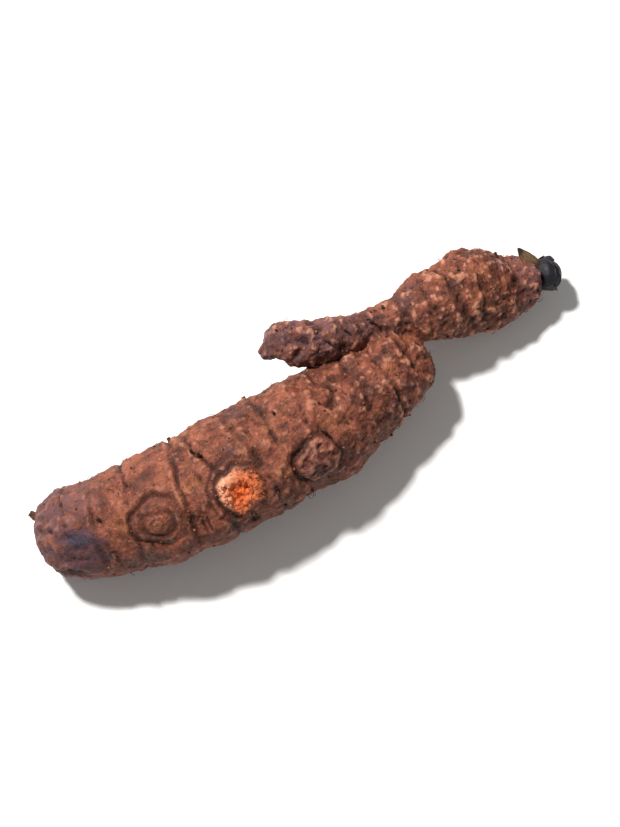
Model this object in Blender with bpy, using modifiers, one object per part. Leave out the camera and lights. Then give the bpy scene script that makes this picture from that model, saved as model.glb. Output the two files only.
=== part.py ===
"""Fresh turmeric root lying on a flat surface, in metres with +Z up.

One forked rhizome: a thick finger lies along X, and a slim finger crosses over its far end and
carries the end bud and a pointed shoot.  Each finger is a row of flattened beads along a smooth
spine.  The beads are fused into one skin, and formulas raise its rings, scars, lumps and pits.
"""
from dataclasses import dataclass
import math
import random

import bmesh
import bpy
from mathutils import Matrix, Vector, noise
import numpy as np

MM = 0.001

# Spine stations in millimetres: x, y, z, and the finger's radius there.
THICK_STATIONS = (
    (-50.7, -1.6, 8.9, 6.6),
    (-47.0, -3.2, 9.4, 8.9),
    (-41.0, -4.9, 10.1, 10.0),
    (-34.5, -5.8, 10.5, 10.4),
    (-26.0, -6.4, 10.9, 11.2),
    (-19.0, -6.4, 11.2, 11.7),
    (-12.4, -5.9, 11.3, 11.8),
    (-5.9, -5.1, 11.1, 11.4),
    (0.4, -4.6, 11.1, 11.2),
    (5.2, -4.2, 10.8, 10.9),
    (11.5, -3.0, 10.4, 10.1),
    (17.4, -1.6, 9.6, 9.1),
    (22.4, -0.4, 9.4, 8.3),
    (27.2, 0.2, 9.2, 6.9),
)
SLIM_STATIONS = (
    (3.6, 12.9, 18.2, 3.5),
    (8.1, 10.8, 17.7, 4.4),
    (12.2, 9.7, 17.0, 4.1),
    (18.1, 8.9, 16.0, 3.1),
    (22.7, 8.7, 15.0, 3.2),
    (27.5, 8.2, 13.8, 4.1),
    (32.0, 7.8, 12.4, 6.0),
    (37.5, 7.7, 10.8, 7.1),
    (43.1, 8.3, 8.6, 7.9),
    (47.5, 7.6, 7.3, 7.8),
    (51.0, 6.6, 6.6, 6.6),
    (53.8, 6.2, 6.5, 5.6),
    (56.2, 6.0, 6.4, 4.6),
)

# Leaf-base rings: x where the ring crosses the finger's top and how far it leans, both in
# millimetres, and how deep it is as a share of the full depth.
THICK_RINGS = (
    (-47.6, 0.5, 0.7),
    (-42.0, 0.2, 0.8),
    (-35.2, -0.8, 0.9),
    (-24.8, -1.0, 1.1),
    (-21.0, 2.6, 0.9),
    (-17.8, 3.0, 0.8),
    (-10.6, 1.0, 0.6),
    (-4.6, 0.4, 0.6),
    (1.8, -0.6, 0.4),
    (7.6, 0.3, 0.6),
    (13.6, -0.6, 0.4),
    (19.8, -0.8, 1.1),
    (25.6, 0.2, 0.4),
)
SLIM_RINGS = (
    (6.9, 0.5, 0.4),
    (10.8, -0.4, 0.3),
    (14.9, 0.3, 0.5),
    (19.2, 0.5, 0.3),
    (23.4, -0.4, 0.5),
    (28.0, 0.6, 0.4),
    (32.8, -0.7, 0.3),
    (37.9, 0.6, 0.5),
    (43.2, -0.5, 0.4),
    (48.6, 0.8, 0.6),
    (53.0, 0.2, 0.5),
)

# Relief of the skin, in metres.
GROOVE_DEPTH = 0.42 * MM
GROOVE_WIDTH = 0.60 * MM
LIP_HEIGHT = 0.14 * MM
LIP_OFFSET = 1.05 * MM
LIP_WIDTH = 0.80 * MM
BARREL_HEIGHT = 0.12 * MM
BARREL_REACH = 3.0 * MM
RING_FADE = 0.60
# How the fade of a ring's depth and its wandering differ from ring to ring, in radians.
FADE_TURN = 2.7
WANDER_TURN = 1.9
# How rough each finger's skin is at its first station and at its last.
THICK_ROUGHNESS = (0.35, 1.00)
SLIM_ROUGHNESS = (1.00, 1.10)
# Where the fingers meet: how softly one's relief gives way to the other's, in shares of a radius.
SEAM_SOFTNESS = 0.06
SEAM_WIDTH = 0.16

# The beads that the fingers are made of, and the skin over them.
BEAD_SPACING = 1.0 * MM
BEAD_LENGTH = 0.55
BEAD_HEIGHT = 0.97
SKIN_VOXEL = 0.6 * MM
SKIN_SMOOTHING = 5
SKIN_TRIANGLES = 8200

BEAD_SIDES = 28

# Round swellings beside the spines, in millimetres: x, y, z, and the radius.
SWELLINGS = (
    (44.4, 14.2, 10.0, 2.9),
    (34.6, 12.2, 12.6, 2.4),
    (23.4, 2.2, 13.6, 4.6),
    (56.8, 5.8, 9.6, 1.7),
    (1.9, 11.8, 16.6, 1.9),
)

# Root stubs: each stands past one of its finger's rings, at an angle from the finger's top.
STUB_COUNT = 28
STUB_LENGTH = 1.1 * MM
STUB_SUNK = 1.6 * MM
STUB_RADIUS = 0.55 * MM
STUB_TAPER = 0.3
STUB_SIDES = 5
STUB_SEED = 11
STUB_PAST_RING = (0.6 * MM, 2.4 * MM)
STUB_ANGLE = 105.0
STUB_LEAN = 0.5
STUB_SCALE = (0.75, 1.25)
SLIM_STUB_EVERY = 3

BUD_CENTRE = (60.5, 5.6, 6.2)
BUD_WAY = (1.0, -0.12, 0.05)
BUD_HALF_LENGTH = 3.1 * MM
BUD_RADIUS = 3.0 * MM
BUD_TIP_TAPER = 0.12
BUD_FOLDS = 5
BUD_FOLD_DEPTH = 0.07
BUD_FOLD_TWIST = 2.4
BUD_SIDES = 30

SHOOT_BASE = (59.4, 7.0, 8.1)
SHOOT_TIP = (56.4, 11.7, 11.5)
SHOOT_BEND = 0.5 * MM
SHOOT_RADIUS = 1.8 * MM
SHOOT_FLATTENING = 0.6
SHOOT_TAPER = 0.6
SHOOT_TAPER_POWER = 1.5
SHOOT_SIDES = 18

SEAT_GAP = 0.3 * MM
FLOOR_BLOCK = Vector((200.0, 100.0, 20.0)) * MM
# Middle of the whole root's box, which the origin stands under.
BOX_MIDDLE = Vector((4.40, -0.60, 0.0)) * MM

SKIN_COLOUR = (151, 99, 81)
BUD_COLOUR = (48, 38, 45)
SHOOT_COLOUR = (150, 126, 84)


@dataclass
class Finger:
    """One finger's spine, sampled closely, with the rings that cross it."""

    points: np.ndarray
    radii: np.ndarray
    tangents: np.ndarray
    sides: np.ndarray
    ups: np.ndarray
    arc: np.ndarray
    ring_arcs: np.ndarray
    ring_leans: np.ndarray
    ring_depths: np.ndarray
    roughness: tuple


@dataclass
class NoiseLayer:
    """A layer of smooth noise: its lumps' size, its height, and where its pattern starts."""

    size: float
    height: float
    shift: float


LUMPS = NoiseLayer(9.0 * MM, 1.10 * MM, 3.1)
KNOBS = NoiseLayer(4.5 * MM, 0.65 * MM, 17.9)
PITS = NoiseLayer(2.6 * MM, 0.45 * MM, 7.7)
WANDER = NoiseLayer(4.8 * MM, 1.10 * MM, 13.3)
# The direction that a layer's pattern is shifted in.
SHIFT_WAY = Vector((1.0, 2.3, -1.7))


@dataclass
class ScarForm:
    """How a kind of scar is raised and sunk, in millimetres, and its core's share of its radius."""

    disc: float = 0.0
    dome: float = 0.0
    groove: float = 0.0
    inner_groove: float = 0.0
    core: float = 0.0
    core_share: float = 0.4
    one_sided: bool = False


CLOSED_SCAR = ScarForm(disc=0.35, groove=0.60, inner_groove=0.40, core=0.30, core_share=0.25)
BROKEN_SCAR = ScarForm(disc=0.55, groove=0.60, core=-0.80, core_share=0.45)
KNOB = ScarForm(dome=1.25, groove=0.60)
CRESCENT = ScarForm(groove=0.60, one_sided=True)


@dataclass
class Scar:
    """A round mark on the thick finger, placed by x and by its angle from the top towards +Y."""

    x: float
    angle: float
    radius: float
    form: ScarForm


SCARS = (
    Scar(-30.8, -27.0, 4.8, CLOSED_SCAR),
    Scar(-15.2, -31.0, 4.6, BROKEN_SCAR),
    Scar(0.7, -45.0, 4.5, KNOB),
    Scar(7.1, 15.0, 1.9, CRESCENT),
    Scar(-27.0, 112.0, 4.0, CLOSED_SCAR),
    Scar(-3.0, 128.0, 3.6, KNOB),
)
SCAR_DEPTH = 4.5 * MM
SCAR_GROOVE_WIDTH = 0.60 * MM
SCAR_RAGGEDNESS = 0.90 * MM
SCAR_SOFTNESS = 0.3 * MM
SCAR_CLEARING = 0.8
# Places in a scar, as shares of its radius.
DISC_EDGE = 0.9
GROOVE_PLACE = 1.05
INNER_GROOVE_PLACE = 0.58
CLEARED_EDGE = 1.15
ONE_SIDED_START = 0.4


def smooth_path(stations, spacing):
    """Return closely spaced rows of x, y, z, radius on a smooth curve through the stations."""
    rows = np.array(stations) * MM
    padded = np.vstack((2 * rows[0] - rows[1], rows, 2 * rows[-1] - rows[-2]))
    samples = []
    for before, start, end, after in zip(padded, padded[1:], padded[2:], padded[3:]):
        steps = max(2, round(np.linalg.norm(end[:3] - start[:3]) / spacing))
        for t in np.arange(steps) / steps:
            samples.append(0.5 * (
                2 * start
                + (end - before) * t
                + (2 * before - 5 * start + 4 * end - after) * t ** 2
                + (3 * start - 3 * end + after - before) * t ** 3
            ))
    samples.append(rows[-1])
    return np.array(samples)


def unit(rows):
    """Scale each row to length one."""
    return rows / np.linalg.norm(rows, axis=-1, keepdims=True)


def make_finger(stations, rings, roughness):
    """Sample a finger's spine and place its rings along it."""
    path = smooth_path(stations, BEAD_SPACING)
    points = path[:, :3]
    tangents = unit(np.gradient(points, axis=0))
    sides = unit(np.cross((0.0, 0.0, 1.0), tangents))
    steps = np.linalg.norm(np.diff(points, axis=0), axis=1)
    arc = np.concatenate(((0.0,), np.cumsum(steps)))
    ring_rows = np.array(rings)
    return Finger(
        points=points,
        radii=path[:, 3],
        tangents=tangents,
        sides=sides,
        ups=np.cross(tangents, sides),
        arc=arc,
        ring_arcs=np.interp(ring_rows[:, 0] * MM, points[:, 0], arc),
        ring_leans=ring_rows[:, 1] * MM,
        ring_depths=ring_rows[:, 2],
        roughness=roughness,
    )


def round_bead():
    """Model the ball of radius one that every bead is a stretched copy of."""
    bm = bmesh.new()
    bmesh.ops.create_uvsphere(bm, u_segments=BEAD_SIDES, v_segments=BEAD_SIDES // 2, radius=1.0)
    mesh = bpy.data.meshes.new("bead")
    bm.to_mesh(mesh)
    bm.free()
    return mesh


def add_bead(bm, ball, centre, axes, scale):
    """Add one flattened bead: axes are its tangent, side and up directions."""
    turn = Matrix([Vector(axis) for axis in axes]).transposed().to_4x4()
    bead = ball.copy()
    bead.transform(Matrix.Translation(Vector(centre)) @ turn @ Matrix.Diagonal((*scale, 1.0)))
    bm.from_mesh(bead)
    bpy.data.meshes.remove(bead)


def bead_mesh(fingers):
    """Fill both fingers with overlapping beads, and add the swellings beside them."""
    bm = bmesh.new()
    ball = round_bead()
    for finger in fingers:
        rows = zip(finger.points, finger.tangents, finger.sides, finger.ups, finger.radii)
        for centre, tangent, side, up, radius in rows:
            scale = (radius * BEAD_LENGTH, radius, radius * BEAD_HEIGHT)
            add_bead(bm, ball, centre, (tangent, side, up), scale)
    round_axes = ((1, 0, 0), (0, 1, 0), (0, 0, 1))
    for *centre, radius in SWELLINGS:
        add_bead(bm, ball, Vector(centre) * MM, round_axes, (radius * MM,) * 3)
    mesh = bpy.data.meshes.new("beads")
    bm.to_mesh(mesh)
    bm.free()
    return mesh


def evaluated_mesh(obj, name):
    """Return the object's mesh with its modifiers applied."""
    graph = bpy.context.evaluated_depsgraph_get()
    mesh = bpy.data.meshes.new_from_object(obj.evaluated_get(graph))
    mesh.name = name
    return mesh


def apply_modifiers(obj):
    """Bake the object's modifiers into its mesh."""
    mesh = evaluated_mesh(obj, obj.name)
    obj.modifiers.clear()
    obj.data = mesh


def finger_coordinates(finger, places):
    """Return each place's reach (distance over radius), arc length and angle about the spine."""
    offsets = places[:, None, :] - finger.points[None, :, :]
    distances = np.linalg.norm(offsets, axis=2)
    nearest = np.argmin(distances, axis=1)
    rows = np.arange(len(places))
    offset = offsets[rows, nearest]
    reach = distances[rows, nearest] / finger.radii[nearest]
    along = finger.arc[nearest] + np.sum(offset * finger.tangents[nearest], axis=1)
    sideways = np.sum(offset * finger.sides[nearest], axis=1)
    upwards = np.sum(offset * finger.ups[nearest], axis=1)
    return reach, along, np.arctan2(sideways, upwards)


def noise_at(places, layer):
    """Return a layer's smooth noise, between about -1 and 1, at each place."""
    offset = layer.shift * SHIFT_WAY
    return np.array([noise.noise(Vector(place) / layer.size + offset) for place in places])


def bump(distance, width):
    """Return a smooth bell of height one."""
    return np.exp(-(distance / width) ** 2)


def step_down(distance, edge, softness):
    """Return one inside the edge, falling smoothly to nought outside it."""
    return 1.0 / (1.0 + np.exp((distance - edge) / softness))


def ring_relief(finger, along, angle, wander):
    """Return the height of the rings and of the barrel-shaped stretches between them."""
    height = np.zeros_like(along)
    nearest_ring = np.full_like(along, np.inf)
    rings = zip(finger.ring_arcs, finger.ring_leans, finger.ring_depths)
    for index, (ring, lean, depth) in enumerate(rings):
        turn = -lean * np.sin(angle) + WANDER.height * wander * math.cos(WANDER_TURN * index)
        distance = along - ring - turn
        fade = 1.0 + RING_FADE * np.sin(2.0 * angle + FADE_TURN * index)
        height -= depth * fade * GROOVE_DEPTH * bump(distance, GROOVE_WIDTH)
        height += depth * fade * LIP_HEIGHT * bump(distance + LIP_OFFSET, LIP_WIDTH)
        nearest_ring = np.minimum(nearest_ring, np.abs(distance))
    return height + BARREL_HEIGHT * np.minimum(nearest_ring / BARREL_REACH, 1.0)


def scar_centre(scar, finger):
    """Return the scar's place on the finger's surface and the direction it faces."""
    index = int(np.argmin(np.abs(finger.points[:, 0] - scar.x * MM)))
    angle = math.radians(scar.angle)
    facing = math.sin(angle) * finger.sides[index] + math.cos(angle) * finger.ups[index]
    return finger.points[index] + finger.radii[index] * facing, facing


def scar_relief(scar, finger, places, wander):
    """Return the height that a scar adds, and how far it clears the rings under it."""
    centre, facing = scar_centre(scar, finger)
    offsets = places - centre
    depth = offsets @ facing
    spread = np.linalg.norm(offsets - depth[:, None] * facing, axis=1)
    near = step_down(np.abs(depth), SCAR_DEPTH, SCAR_SOFTNESS)
    radius = scar.radius * MM
    ragged = spread + SCAR_RAGGEDNESS * wander
    form = scar.form
    groove = form.groove * bump(ragged - GROOVE_PLACE * radius, SCAR_GROOVE_WIDTH)
    if form.one_sided:
        groove *= np.clip(offsets @ finger.tangents[0] / radius + ONE_SIDED_START, 0.0, 1.0)
    inner_groove = bump(ragged - INNER_GROOVE_PLACE * radius, SCAR_GROOVE_WIDTH)
    height = form.disc * step_down(ragged, DISC_EDGE * radius, SCAR_SOFTNESS)
    height += form.dome * np.sqrt(np.clip(1.0 - (spread / radius) ** 2, 0.0, 1.0))
    height += form.core * step_down(ragged, form.core_share * radius, SCAR_SOFTNESS)
    height -= groove + form.inner_groove * inner_groove
    cleared = near * step_down(spread, CLEARED_EDGE * radius, SCAR_SOFTNESS)
    return height * MM * near, cleared


def relief(fingers, places):
    """Return how far each place of the fused skin is raised along its normal."""
    knobs = KNOBS.height * noise_at(places, KNOBS)
    pits = PITS.height * noise_at(places, PITS)
    wander = noise_at(places, WANDER)
    coordinates = [finger_coordinates(finger, places) for finger in fingers]
    lead = coordinates[1][0] - coordinates[0][0]
    shares = (step_down(-lead, 0.0, SEAM_SOFTNESS), step_down(lead, 0.0, SEAM_SOFTNESS))
    seam = 1.0 - bump(lead, SEAM_WIDTH)
    height = LUMPS.height * noise_at(places, LUMPS)
    for finger, share, (_, along, angle) in zip(fingers, shares, coordinates):
        roughness = np.interp(along, (0.0, finger.arc[-1]), finger.roughness)
        rings = seam * ring_relief(finger, along, angle, wander)
        height += share * (rings + roughness * (knobs + pits))
    for scar in SCARS:
        raised, cleared = scar_relief(scar, fingers[0], places, wander)
        height = height * (1.0 - SCAR_CLEARING * cleared) + raised
    return height


def raise_relief(mesh, fingers):
    """Move the skin's points along their normals by the relief."""
    count = len(mesh.vertices)
    places = np.empty(count * 3)
    normals = np.empty(count * 3)
    mesh.vertices.foreach_get("co", places)
    mesh.vertices.foreach_get("normal", normals)
    places = places.reshape(-1, 3)
    moved = places + normals.reshape(-1, 3) * relief(fingers, places)[:, None]
    mesh.vertices.foreach_set("co", moved.ravel())
    mesh.update()


def add_object(name, mesh, collection):
    """Put a mesh in the collection as an object of that name."""
    obj = bpy.data.objects.new(name, mesh)
    collection.objects.link(obj)
    return obj


def stub_places(fingers):
    """Yield the base, direction and size of each root stub, scattered along both fingers."""
    thick, slim = fingers
    draw = random.Random(STUB_SEED)
    for number in range(STUB_COUNT):
        finger = thick if number % SLIM_STUB_EVERY else slim
        arc = draw.choice(finger.ring_arcs[1:-1]) + draw.uniform(*STUB_PAST_RING)
        index = int(np.argmin(np.abs(finger.arc - arc)))
        angle = math.radians(draw.uniform(-STUB_ANGLE, STUB_ANGLE))
        facing = math.sin(angle) * finger.sides[index] + math.cos(angle) * finger.ups[index]
        lean = finger.tangents[index] * draw.uniform(-STUB_LEAN, STUB_LEAN)
        surface = finger.points[index] + facing * finger.radii[index]
        yield Vector(surface), Vector(facing + lean).normalized(), draw.uniform(*STUB_SCALE)


def add_stubs(fingers, collection):
    """Model the root stubs as thin cones whose roots lie well under the skin."""
    for number, (surface, direction, scale) in enumerate(stub_places(fingers)):
        bm = bmesh.new()
        bmesh.ops.create_cone(
            bm,
            cap_ends=True,
            segments=STUB_SIDES,
            radius1=STUB_RADIUS,
            radius2=STUB_RADIUS * STUB_TAPER,
            depth=STUB_SUNK + STUB_LENGTH * scale,
        )
        middle = surface + direction * (STUB_LENGTH * scale - STUB_SUNK) / 2
        turn = direction.to_track_quat("Z", "Y").to_matrix().to_4x4()
        bm.transform(Matrix.Translation(middle) @ turn)
        mesh = bpy.data.meshes.new(f"root_stub_{number:02d}")
        bm.to_mesh(mesh)
        bm.free()
        add_object(mesh.name, mesh, collection)


def fuse_stubs(root, fingers):
    """Join the root stubs to the skin by one union, and remove their objects."""
    stubs = bpy.data.collections.new("root_stubs")
    bpy.context.scene.collection.children.link(stubs)
    add_stubs(fingers, stubs)
    union = root.modifiers.new("root_stubs", "BOOLEAN")
    union.operation = "UNION"
    union.solver = "EXACT"
    union.operand_type = "COLLECTION"
    union.collection = stubs
    apply_modifiers(root)
    for stub in list(stubs.objects):
        bpy.data.objects.remove(stub)
    bpy.data.collections.remove(stubs)


def make_rhizome(fingers, collection):
    """Fuse the beads into one skin, raise its relief, thin its faces and fuse the root stubs."""
    root = add_object("rhizome", bead_mesh(fingers), collection)
    skin = root.modifiers.new("skin", "REMESH")
    skin.mode = "VOXEL"
    skin.voxel_size = SKIN_VOXEL
    smooth = root.modifiers.new("smooth", "SMOOTH")
    smooth.iterations = SKIN_SMOOTHING
    apply_modifiers(root)
    raise_relief(root.data, fingers)
    thin = root.modifiers.new("thin", "DECIMATE")
    thin.ratio = SKIN_TRIANGLES / (2 * len(root.data.polygons))
    thin.use_collapse_triangulate = True
    apply_modifiers(root)
    fuse_stubs(root, fingers)
    return root


def bud_mesh(grow):
    """Model the dark end bud: a squat egg whose scales fold round it, swollen by grow."""
    bm = bmesh.new()
    bmesh.ops.create_uvsphere(bm, u_segments=BUD_SIDES, v_segments=BUD_SIDES // 2, radius=1.0)
    for vert in bm.verts:
        place = vert.co
        turn = math.atan2(place.y, place.x)
        wrap = turn * BUD_FOLDS + BUD_FOLD_TWIST * place.z
        fold = 1.0 + BUD_FOLD_DEPTH * math.cos(wrap) * (1.0 - place.z ** 2)
        across = BUD_RADIUS * fold * (1.0 - BUD_TIP_TAPER * max(place.z, 0.0)) + grow
        vert.co = (place.x * across, place.y * across, place.z * (BUD_HALF_LENGTH + grow))
    turned = Vector(BUD_WAY).to_track_quat("Z", "Y").to_matrix().to_4x4()
    bm.transform(Matrix.Translation(Vector(BUD_CENTRE) * MM) @ turned)
    mesh = bpy.data.meshes.new("end_bud")
    bm.to_mesh(mesh)
    bm.free()
    return mesh


def shoot_mesh(grow):
    """Model the pointed shoot: a flattened horn that curves back over the root, swollen by grow."""
    base = Vector(SHOOT_BASE) * MM
    axis = Vector(SHOOT_TIP) * MM - base
    bm = bmesh.new()
    bmesh.ops.create_uvsphere(bm, u_segments=SHOOT_SIDES, v_segments=SHOOT_SIDES, radius=1.0)
    for vert in bm.verts:
        rise = (vert.co.z + 1.0) / 2.0
        taper = 1.0 - SHOOT_TAPER * rise ** SHOOT_TAPER_POWER
        bend = SHOOT_BEND * math.sin(math.pi * rise)
        vert.co = (
            vert.co.x * (SHOOT_RADIUS * taper + grow) + bend,
            vert.co.y * (SHOOT_RADIUS * SHOOT_FLATTENING * taper + grow),
            rise * (axis.length + 2 * grow) - grow,
        )
    turn = axis.to_track_quat("Z", "Y").to_matrix().to_4x4()
    bm.transform(Matrix.Translation(base) @ turn)
    mesh = bpy.data.meshes.new("shoot")
    bm.to_mesh(mesh)
    bm.free()
    return mesh


def floor_mesh():
    """Model the block under the floor that trims the root's belly flat."""
    bm = bmesh.new()
    bmesh.ops.create_cube(bm, size=1.0)
    drop = Matrix.Translation((0.0, 0.0, -FLOOR_BLOCK.z / 2))
    bm.transform(drop @ Matrix.Diagonal((*FLOOR_BLOCK, 1.0)))
    mesh = bpy.data.meshes.new("floor_cutter")
    bm.to_mesh(mesh)
    bm.free()
    return mesh


def cut(target, name, mesh, cutters):
    """Cut a cutter's shape out of a piece, and return the cutter."""
    cutter = add_object(name, mesh, cutters)
    cutter.hide_render = True
    cutter.display_type = "WIRE"
    difference = target.modifiers.new(name, "BOOLEAN")
    difference.operation = "DIFFERENCE"
    difference.solver = "EXACT"
    difference.object = cutter
    return cutter


def linear(channel):
    """Turn one sRGB channel from 0 to 255 into linear light."""
    value = channel / 255.0
    return value / 12.92 if value <= 0.04045 else ((value + 0.055) / 1.055) ** 2.4


def give_material(obj, name, colour, roughness):
    """Give an object its own plain material."""
    material = bpy.data.materials.new(name)
    material.use_nodes = True
    shader = material.node_tree.nodes["Principled BSDF"]
    shader.inputs["Base Color"].default_value = (*(linear(channel) for channel in colour), 1.0)
    shader.inputs["Roughness"].default_value = roughness
    shader.inputs["Metallic"].default_value = 0.0
    obj.data.materials.clear()
    obj.data.materials.append(material)


def main():
    """Build the root, its bud and its shoot."""
    for obj in list(bpy.data.objects):
        bpy.data.objects.remove(obj)
    parts = bpy.data.collections.new("turmeric_root")
    cutters = bpy.data.collections.new("cutters")
    bpy.context.scene.collection.children.link(parts)
    bpy.context.scene.collection.children.link(cutters)

    fingers = (
        make_finger(THICK_STATIONS, THICK_RINGS, THICK_ROUGHNESS),
        make_finger(SLIM_STATIONS, SLIM_RINGS, SLIM_ROUGHNESS),
    )
    root = make_rhizome(fingers, parts)
    bud = add_object("end_bud", bud_mesh(0.0), parts)
    shoot = add_object("shoot", shoot_mesh(0.0), parts)
    pieces = [
        root,
        bud,
        shoot,
        cut(root, "bud_seat", bud_mesh(SEAT_GAP), cutters),
        cut(root, "shoot_seat", shoot_mesh(SEAT_GAP), cutters),
        cut(bud, "shoot_notch", shoot_mesh(SEAT_GAP), cutters),
        cut(root, "floor_cutter", floor_mesh(), cutters),
    ]

    frame = bpy.data.objects.new("root_frame", None)
    parts.objects.link(frame)
    frame.location = -BOX_MIDDLE
    for piece in pieces:
        piece.parent = frame

    give_material(root, "turmeric_skin", SKIN_COLOUR, 0.8)
    give_material(bud, "dark_bud", BUD_COLOUR, 0.7)
    give_material(shoot, "dry_shoot", SHOOT_COLOUR, 0.65)
    for obj in (bud, shoot):
        obj.data.shade_smooth()


main()
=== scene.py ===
"""The looks of a fresh turmeric root: its soil-brown skin, scars, stubs, bud and shoot.

Everything is in metres with +Z up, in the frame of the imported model.  The root lies along X.
Its skin repeats the model's two fingers, rings and scars from the same sizes, with finer relief.
"""

from dataclasses import dataclass, field
from enum import Enum
from itertools import product
import logging
import math
import random

import bmesh
import bpy
from mathutils import Matrix, Vector, noise
import numpy as np


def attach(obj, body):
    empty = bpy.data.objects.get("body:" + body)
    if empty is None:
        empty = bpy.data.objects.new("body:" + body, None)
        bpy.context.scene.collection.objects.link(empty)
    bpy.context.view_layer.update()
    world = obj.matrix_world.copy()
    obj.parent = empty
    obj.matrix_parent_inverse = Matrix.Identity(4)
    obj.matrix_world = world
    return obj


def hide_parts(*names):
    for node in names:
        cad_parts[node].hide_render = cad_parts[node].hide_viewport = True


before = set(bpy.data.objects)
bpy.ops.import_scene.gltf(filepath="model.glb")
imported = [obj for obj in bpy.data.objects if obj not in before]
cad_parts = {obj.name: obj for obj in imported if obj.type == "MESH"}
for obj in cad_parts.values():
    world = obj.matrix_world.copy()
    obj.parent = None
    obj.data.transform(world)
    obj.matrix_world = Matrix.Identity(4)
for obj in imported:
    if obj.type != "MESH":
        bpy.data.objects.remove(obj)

Array = np.ndarray
Socket = bpy.types.NodeSocket
Point = tuple[float, float, float]
Colour = tuple[float, float, float, float]
Stops = tuple[tuple[float, Colour], ...]
# The value that gives the least, the value that gives the most, the least and the most.
Stretch = tuple[float, ...]

MM = 0.001
LOG = logging.getLogger("turmeric_root")
# Middle of the modelled root's box, which the frame's origin stands under.
BOX_MIDDLE = np.array((4.40, -0.60, 0.0)) * MM
# The direction that a noise layer's pattern is shifted in.
SHIFT_WAY = Vector((1.0, 2.3, -1.7))
UP = Vector((0.0, 0.0, 1.0))
WHITE = (1.0, 1.0, 1.0, 1.0)
FULL_TURN = (math.tau, math.tau, math.tau)


class Body(Enum):
    """The bodies that pieces ride on."""

    ROOT = "root"


class Slot(Enum):
    """The record's material slots."""

    SKIN = "skin"
    BUD = "bud"
    SHOOT = "shoot"


def unit_rows(rows: Array) -> Array:
    """Scale each row to length one."""
    return rows / np.linalg.norm(rows, axis=-1, keepdims=True)


def bell(distance: Array, width: float) -> Array:
    """Return a smooth bell of height one round nought."""
    return np.exp(-((distance / width) ** 2))


def falloff(distance: Array, edge: float, softness: float) -> Array:
    """Return one inside the edge, falling smoothly to nought outside it."""
    return 1.0 / (1.0 + np.exp(np.clip((distance - edge) / softness, -60.0, 60.0)))


def in_frame(place: Point) -> Vector:
    """Turn a place on the modelled root, in millimetres, into the frame's metres."""
    return Vector(np.array(place) * MM - BOX_MIDDLE)


def standing(place: Vector, axis: Vector) -> Matrix:
    """Return the move that stands a shape made along Z at the place, along the axis."""
    return Matrix.Translation(place) @ axis.to_track_quat("Z", "Y").to_matrix().to_4x4()


def srgb(red: int, green: int, blue: int) -> Colour:
    """Turn a colour of 0 to 255 a channel into Blender's linear colour.

    Args:
        red: The red channel.
        green: The green channel.
        blue: The blue channel.

    Returns:
        The linear colour, opaque.
    """
    linear = []
    for channel in (red, green, blue):
        value = channel / 255.0
        linear.append(value / 12.92 if value <= 0.04045 else ((value + 0.055) / 1.055) ** 2.4)
    return (*linear, 1.0)


@dataclass(frozen=True)
class NoiseLayer:
    """A layer of relief: its lumps' size, its height, where its pattern starts, its octaves."""

    size: float
    height: float
    shift: float
    octaves: int = 1
    crease: float = 0.55

    def spots(self, places: Array) -> list[Vector]:
        """Return each place in the pattern's own units."""
        offset = self.shift * SHIFT_WAY
        return [Vector(place) / self.size + offset for place in places]

    def at(self, places: Array) -> Array:
        """Return the layer's noise, between about -1 and 1.

        Args:
            places: The skin's points.

        Returns:
            The noise at each point.
        """
        spots = self.spots(places)
        if self.octaves == 1:
            return np.array([noise.noise(spot) for spot in spots])
        return np.array([noise.fractal(spot, 0.9, 2.1, self.octaves) for spot in spots])

    def pebbles(self, places: Array) -> Array:
        """Return rounded pebbles with creases between them.

        Args:
            places: The skin's points.

        Returns:
            Nought in a crease and one inside a pebble, at each point.
        """
        nearest = [noise.voronoi(spot)[0] for spot in self.spots(places)]
        inside = np.array([distances[1] - distances[0] for distances in nearest])
        return np.sqrt(np.clip(inside / self.crease, 0.0, 1.0))


def new_object(name: str, data: bpy.types.ID) -> bpy.types.Object:
    """Put a mesh, a light or a camera in the scene.

    Args:
        name: The object's name, which its data takes too.
        data: What it shows.

    Returns:
        The object.
    """
    data.name = name
    obj = bpy.data.objects.new(name, data)
    bpy.context.scene.collection.objects.link(obj)
    return obj


def mesh_from(bm: bmesh.types.BMesh, name: str) -> bpy.types.Mesh:
    """Turn a bmesh into a mesh, and free it.

    Args:
        bm: The bmesh.
        name: The mesh's name.

    Returns:
        The mesh.
    """
    mesh = bpy.data.meshes.new(name)
    bm.to_mesh(mesh)
    bm.free()
    return mesh


def bake_modifiers(obj: bpy.types.Object) -> None:
    """Give an object its evaluated shape as a plain mesh, with no modifier left.

    Args:
        obj: The object.
    """
    graph = bpy.context.evaluated_depsgraph_get()
    mesh = bpy.data.meshes.new_from_object(obj.evaluated_get(graph))
    mesh.name = obj.name
    obj.modifiers.clear()
    obj.data = mesh


def mesh_rows(mesh: bpy.types.Mesh, key: str) -> Array:
    """Return a vector property of all the mesh's points.

    Args:
        mesh: The mesh.
        key: The property's name.

    Returns:
        Rows of three numbers.
    """
    values = np.empty(len(mesh.vertices) * 3)
    mesh.vertices.foreach_get(key, values)
    return values.reshape(-1, 3)


def store(mesh: bpy.types.Mesh, name: str, values: Array) -> None:
    """Store one number for each of the mesh's points as a named attribute."""
    layer = mesh.attributes.new(name, "FLOAT", "POINT")
    layer.data.foreach_set("value", np.ascontiguousarray(values, dtype=np.float32))


def set_on_floor(mesh: bpy.types.Mesh) -> None:
    """Lift every point that lies under the floor onto it.

    Args:
        mesh: The mesh, in the frame's place.
    """
    rows = mesh_rows(mesh, "co")
    rows[:, 2] = np.maximum(rows[:, 2], 0.0)
    mesh.vertices.foreach_set("co", rows.ravel())
    mesh.update()


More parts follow.
